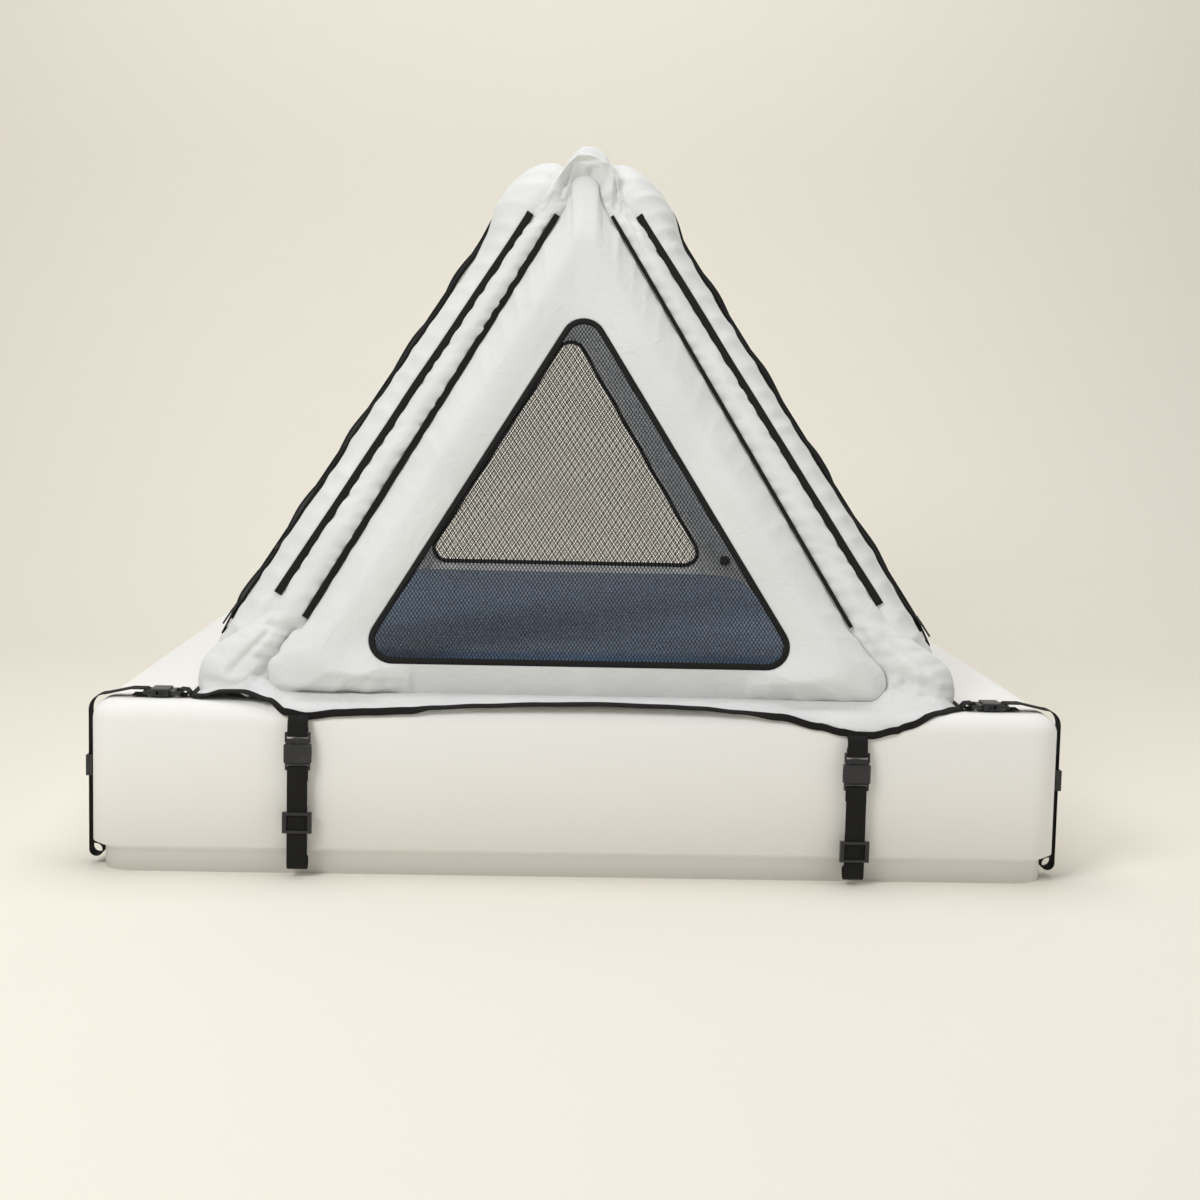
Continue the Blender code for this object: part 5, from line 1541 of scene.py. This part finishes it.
class Strap:
    """A strap's webbing, drawn in its own plane: distance out from the hem, and height."""

    def __init__(self, name):
        self.reach, self.glide, self.bottom = STRAPS[name]
        edge, corner = name.split("_")
        self.hangs = edge in ("foot", "head")
        sign = {"foot": -1, "left": -1, "head": 1, "right": 1}
        if self.hangs:
            self.outward = Vector((0.0, sign[edge], 0.0))
            self.hem = Vector((sign[corner] * END_STRAP_AT, sign[edge] * HEM_HALF_LENGTH, 0.0))
            self.bar = (END_BAR_OUT, -self.reach)
            self.ply = self.bar[0] + LOOP_RADIUS
        else:
            self.outward = Vector((sign[edge], 0.0, 0.0))
            self.hem = Vector((sign[edge] * HEM_HALF_WIDTH, sign[corner] * SIDE_STRAP_AT, 0.0))
            self.bar = (self.reach, SIDE_BAR_UP)
            self.ply = SIDE_PLY_OUT

    def place(self, flat):
        """The place in the scene of a point in the strap's plane."""
        return self.hem + self.outward * flat[0] + Vector((0.0, 0.0, flat[1]))

    def tab_path(self):
        """From the hem, round the first bar of the prong half, and back."""
        s, z = self.bar
        if self.hangs:
            front = s + LOOP_RADIUS
            out, top = hem_lie(self.hem.x, self.hem.y)
            lead = [(out + 0.001, top + 0.002), (out + 0.007, top),
                    (0.5 * (out + 0.007 + front), top - 0.005)]
            if top < z + 0.02:
                lead = [(out + 0.004, top + 0.001), (0.5 * (out + 0.004 + front), top - 0.003)]
            return lead + arc(self.bar, LOOP_RADIUS, 0, -180, 12) + [(s - LOOP_RADIUS, z + 0.010)]
        return [(0.0, 0.0048), (0.006, z + LOOP_RADIUS * 0.8)] + arc(self.bar, LOOP_RADIUS, 90, -90, 12) + [
            (s - 0.010, z - LOOP_RADIUS)]

    def web_path(self):
        """Round the bar of the buckle body, down to the rail, round it, and up behind to the tri-glide."""
        if self.hangs:
            bar = (self.bar[0], self.bar[1] - BODY_BAR)
            path = [(bar[0] - LOOP_RADIUS, bar[1] - 0.020)] + arc(bar, LOOP_RADIUS, 180, 0, 12)
        else:
            bar = (self.bar[0] + BODY_BAR, self.bar[1])
            path = [(bar[0] + 0.020, bar[1] - LOOP_RADIUS)] + arc(bar, LOOP_RADIUS, 270, 90, 12)
            path += [(bar[0] + 0.022, bar[1] + LOOP_RADIUS)]
            path += arc((self.ply - BED_BEND, -0.022), BED_BEND, 90, 0, 10)
        path += arc((self.ply - RAIL_RADIUS, -self.bottom), RAIL_RADIUS, 0, -270, 24)
        back = self.ply - PLY_STEP
        rise = -self.bottom + RAIL_RADIUS
        path += [(self.ply - 0.0062, rise + 0.0006), (back - 0.0008, rise + 0.0030), (back, rise + 0.0058)]
        return path + [(back, -self.glide + GLIDE_LENGTH / 2 + 0.010)]


def arc(centre, radius, start, end, steps):
    run = []
    for k in range(steps + 1):
        angle = math.radians(start + (end - start) * k / steps)
        run.append((centre[0] + radius * math.cos(angle), centre[1] + radius * math.sin(angle)))
    return run


def web_piece(name, strap, path):
    points = [strap.place(p) for p in path]
    filled = []
    for a, b in zip(points, points[1:]):
        steps = max(1, round((b - a).length / WEB_STEP))
        filled += [between(a, b, k / steps) for k in range(steps)]
    filled.append(points[-1])
    wide = strap.outward.cross(Vector((0.0, 0.0, 1.0))).normalized()
    faces = []
    for i in range(len(filled)):
        along = filled[min(i + 1, len(filled) - 1)] - filled[max(i - 1, 0)]
        faces.append(wide.cross(along).normalized())
    return tape_piece(name, filled, faces, WEB_WIDTH, WEB_THICKNESS, WEBBING)


for name in STRAPS:
    strap = Strap(name)
    web = web_piece("webbing_" + name, strap, strap.web_path())
    finish_piece(web, "strap_end_" + name, "tape", "strap_" + name)
    tab = web_piece("hem_tab_" + name, strap, strap.tab_path())
    finish_piece(tab, "enclosure", "tape", "hem_binding")

# %% [markdown]
# ## Finishes of the solids that stay
# Buckles, tri-glides, zip sliders and valve caps are rigid mouldings whose solids have the right shape. They
# get a fine-grained plastic, and the air beams inside the sleeves get their film.


# %% Finish what stays
def refinish(node, finish):
    data = nodes[node].data
    data.materials.clear()
    data.materials.append(finish)


for node in nodes:
    if node.startswith(("buckle", "tri_glide")) or node.endswith(("slider", "cap")):
        refinish(node, PLASTIC)
    elif node.endswith("air_beam"):
        refinish(node, FILM)

# %% [markdown]
# ## Stage, light and camera
# The bed stands on a plain pale plinth, so that the straps have an edge to hang over. Broad soft lamps light
# it from the front and above, as in a studio, and the camera has the lens and the place that fit the
# photograph.


# %% Plinth, floor and backdrop
def plain_material(name, colour, roughness=0.85):
    made, graph, shader = start_material(name, roughness)
    solid, _ = coordinates(graph)
    tone = graph.noise(solid, 1.3, 2.0)
    shade = tuple(value * 0.985 for value in colour)
    graph.put(shader.inputs["Base Color"], graph.mix(tone, (*shade, 1.0), (*colour, 1.0)))
    return made


FLOOR_LEVEL = -0.272
PLINTH_HALF = 0.771
BACKDROP_REACH, BACKDROP_TOP, WALL_BEND = 9.0, 7.0, 1.6
BACKDROP = plain_material("warm pale backdrop", (0.86, 0.825, 0.735))
PLINTH = plain_material("pale plinth", (0.86, 0.85, 0.82))


def add_backdrop():
    section = [(-BACKDROP_REACH, FLOOR_LEVEL), (WALL_BEND, FLOOR_LEVEL)]
    for a in (math.pi / 2 * k / 12 for k in range(1, 13)):
        y, z = WALL_BEND + WALL_BEND * math.sin(a), FLOOR_LEVEL + WALL_BEND - WALL_BEND * math.cos(a)
        section.append((y, z))
    section.append((2 * WALL_BEND, BACKDROP_TOP))
    rows = [[Vector((x, y, z)) for x in (-BACKDROP_REACH, BACKDROP_REACH)] for y, z in section]
    obj = grid_piece("backdrop", rows, BACKDROP)


def add_plinth():
    # How far each level steps in from the plinth's widest outline, and its height.
    levels = [(0.016, FLOOR_LEVEL), (0.016, -0.236), (0.008, -0.232), (0.0, -0.226)]
    turns = [math.pi / 2 * k / 10 for k in range(11)]
    levels += [(BED_ROUND * (1 - math.cos(a)), -BED_ROUND + BED_ROUND * math.sin(a)) for a in turns]
    rows = []
    for take, level in levels:
        x, y = PLINTH_HALF - take, BED_EDGE - take
        run = outline([(x, -y), (x, y), (-x, y), (-x, -y)], [0.05] * 4, [8] * 4, [1] * 4)
        rows.append([Vector((p.x, p.y, level - 0.0006)) for p in run])
    obj = face_out(grid_piece("plinth", rows, PLINTH, loop_ring=True, cap=True))


add_backdrop()
add_plinth()


# %% Lamps
def soft_lamp(name, place, target, size, power, colour=(1.0, 1.0, 1.0)):
    data = bpy.data.lights.new(name, "AREA")
    data.shape = "RECTANGLE"
    data.size, data.size_y = size
    data.energy = power
    data.color = colour
    lamp = bpy.data.objects.new(name, data)
    lamp.location = place
    lamp.rotation_euler = (Vector(target) - Vector(place)).to_track_quat("-Z", "Y").to_euler()
    bpy.context.scene.collection.objects.link(lamp)


soft_lamp("key", (-2.6, -4.2, 3.2), (0.0, 0.0, 0.3), (2.0, 2.0), 134.0)
soft_lamp("fill", (3.6, -3.0, 2.2), (0.0, 0.0, 0.3), (3.0, 3.0), 38.0)
soft_lamp("overhead", (0.0, 0.5, 4.2), (0.0, 0.2, 0.0), (4.0, 4.0), 105.0)

world = bpy.data.worlds.new("studio")
world.use_nodes = True
world.node_tree.nodes["Background"].inputs[0].default_value = (1.0, 0.99, 0.97, 1.0)
world.node_tree.nodes["Background"].inputs[1].default_value = 0.28
bpy.context.scene.world = world
bpy.context.scene.view_settings.view_transform = "Standard"

# %% Camera
CAMERA_PLACE = Vector((-0.0692, -4.1265, 0.5013))
YAW, PITCH, ROLL = 0.0313, 0.1039, 0.0224
SENSOR, FOCAL_PIXELS, IMAGE_PIXELS = 36.0, 2005, 1200
ahead = Vector((math.sin(YAW) * math.cos(PITCH), math.cos(YAW) * math.cos(PITCH), -math.sin(PITCH)))
right = Vector((math.cos(YAW), -math.sin(YAW), 0.0))
up = right.cross(ahead)
camera_x = right * math.cos(ROLL) + up * math.sin(ROLL)
camera_y = up * math.cos(ROLL) - right * math.sin(ROLL)
camera_data = bpy.data.cameras.new("camera")
camera_data.sensor_width = SENSOR
camera_data.lens = SENSOR * FOCAL_PIXELS / IMAGE_PIXELS
camera = bpy.data.objects.new("camera", camera_data)
turn = Matrix((camera_x, camera_y, -ahead)).transposed().to_4x4()
turn.translation = CAMERA_PLACE
camera.matrix_world = turn
bpy.context.scene.collection.objects.link(camera)
bpy.context.scene.camera = camera
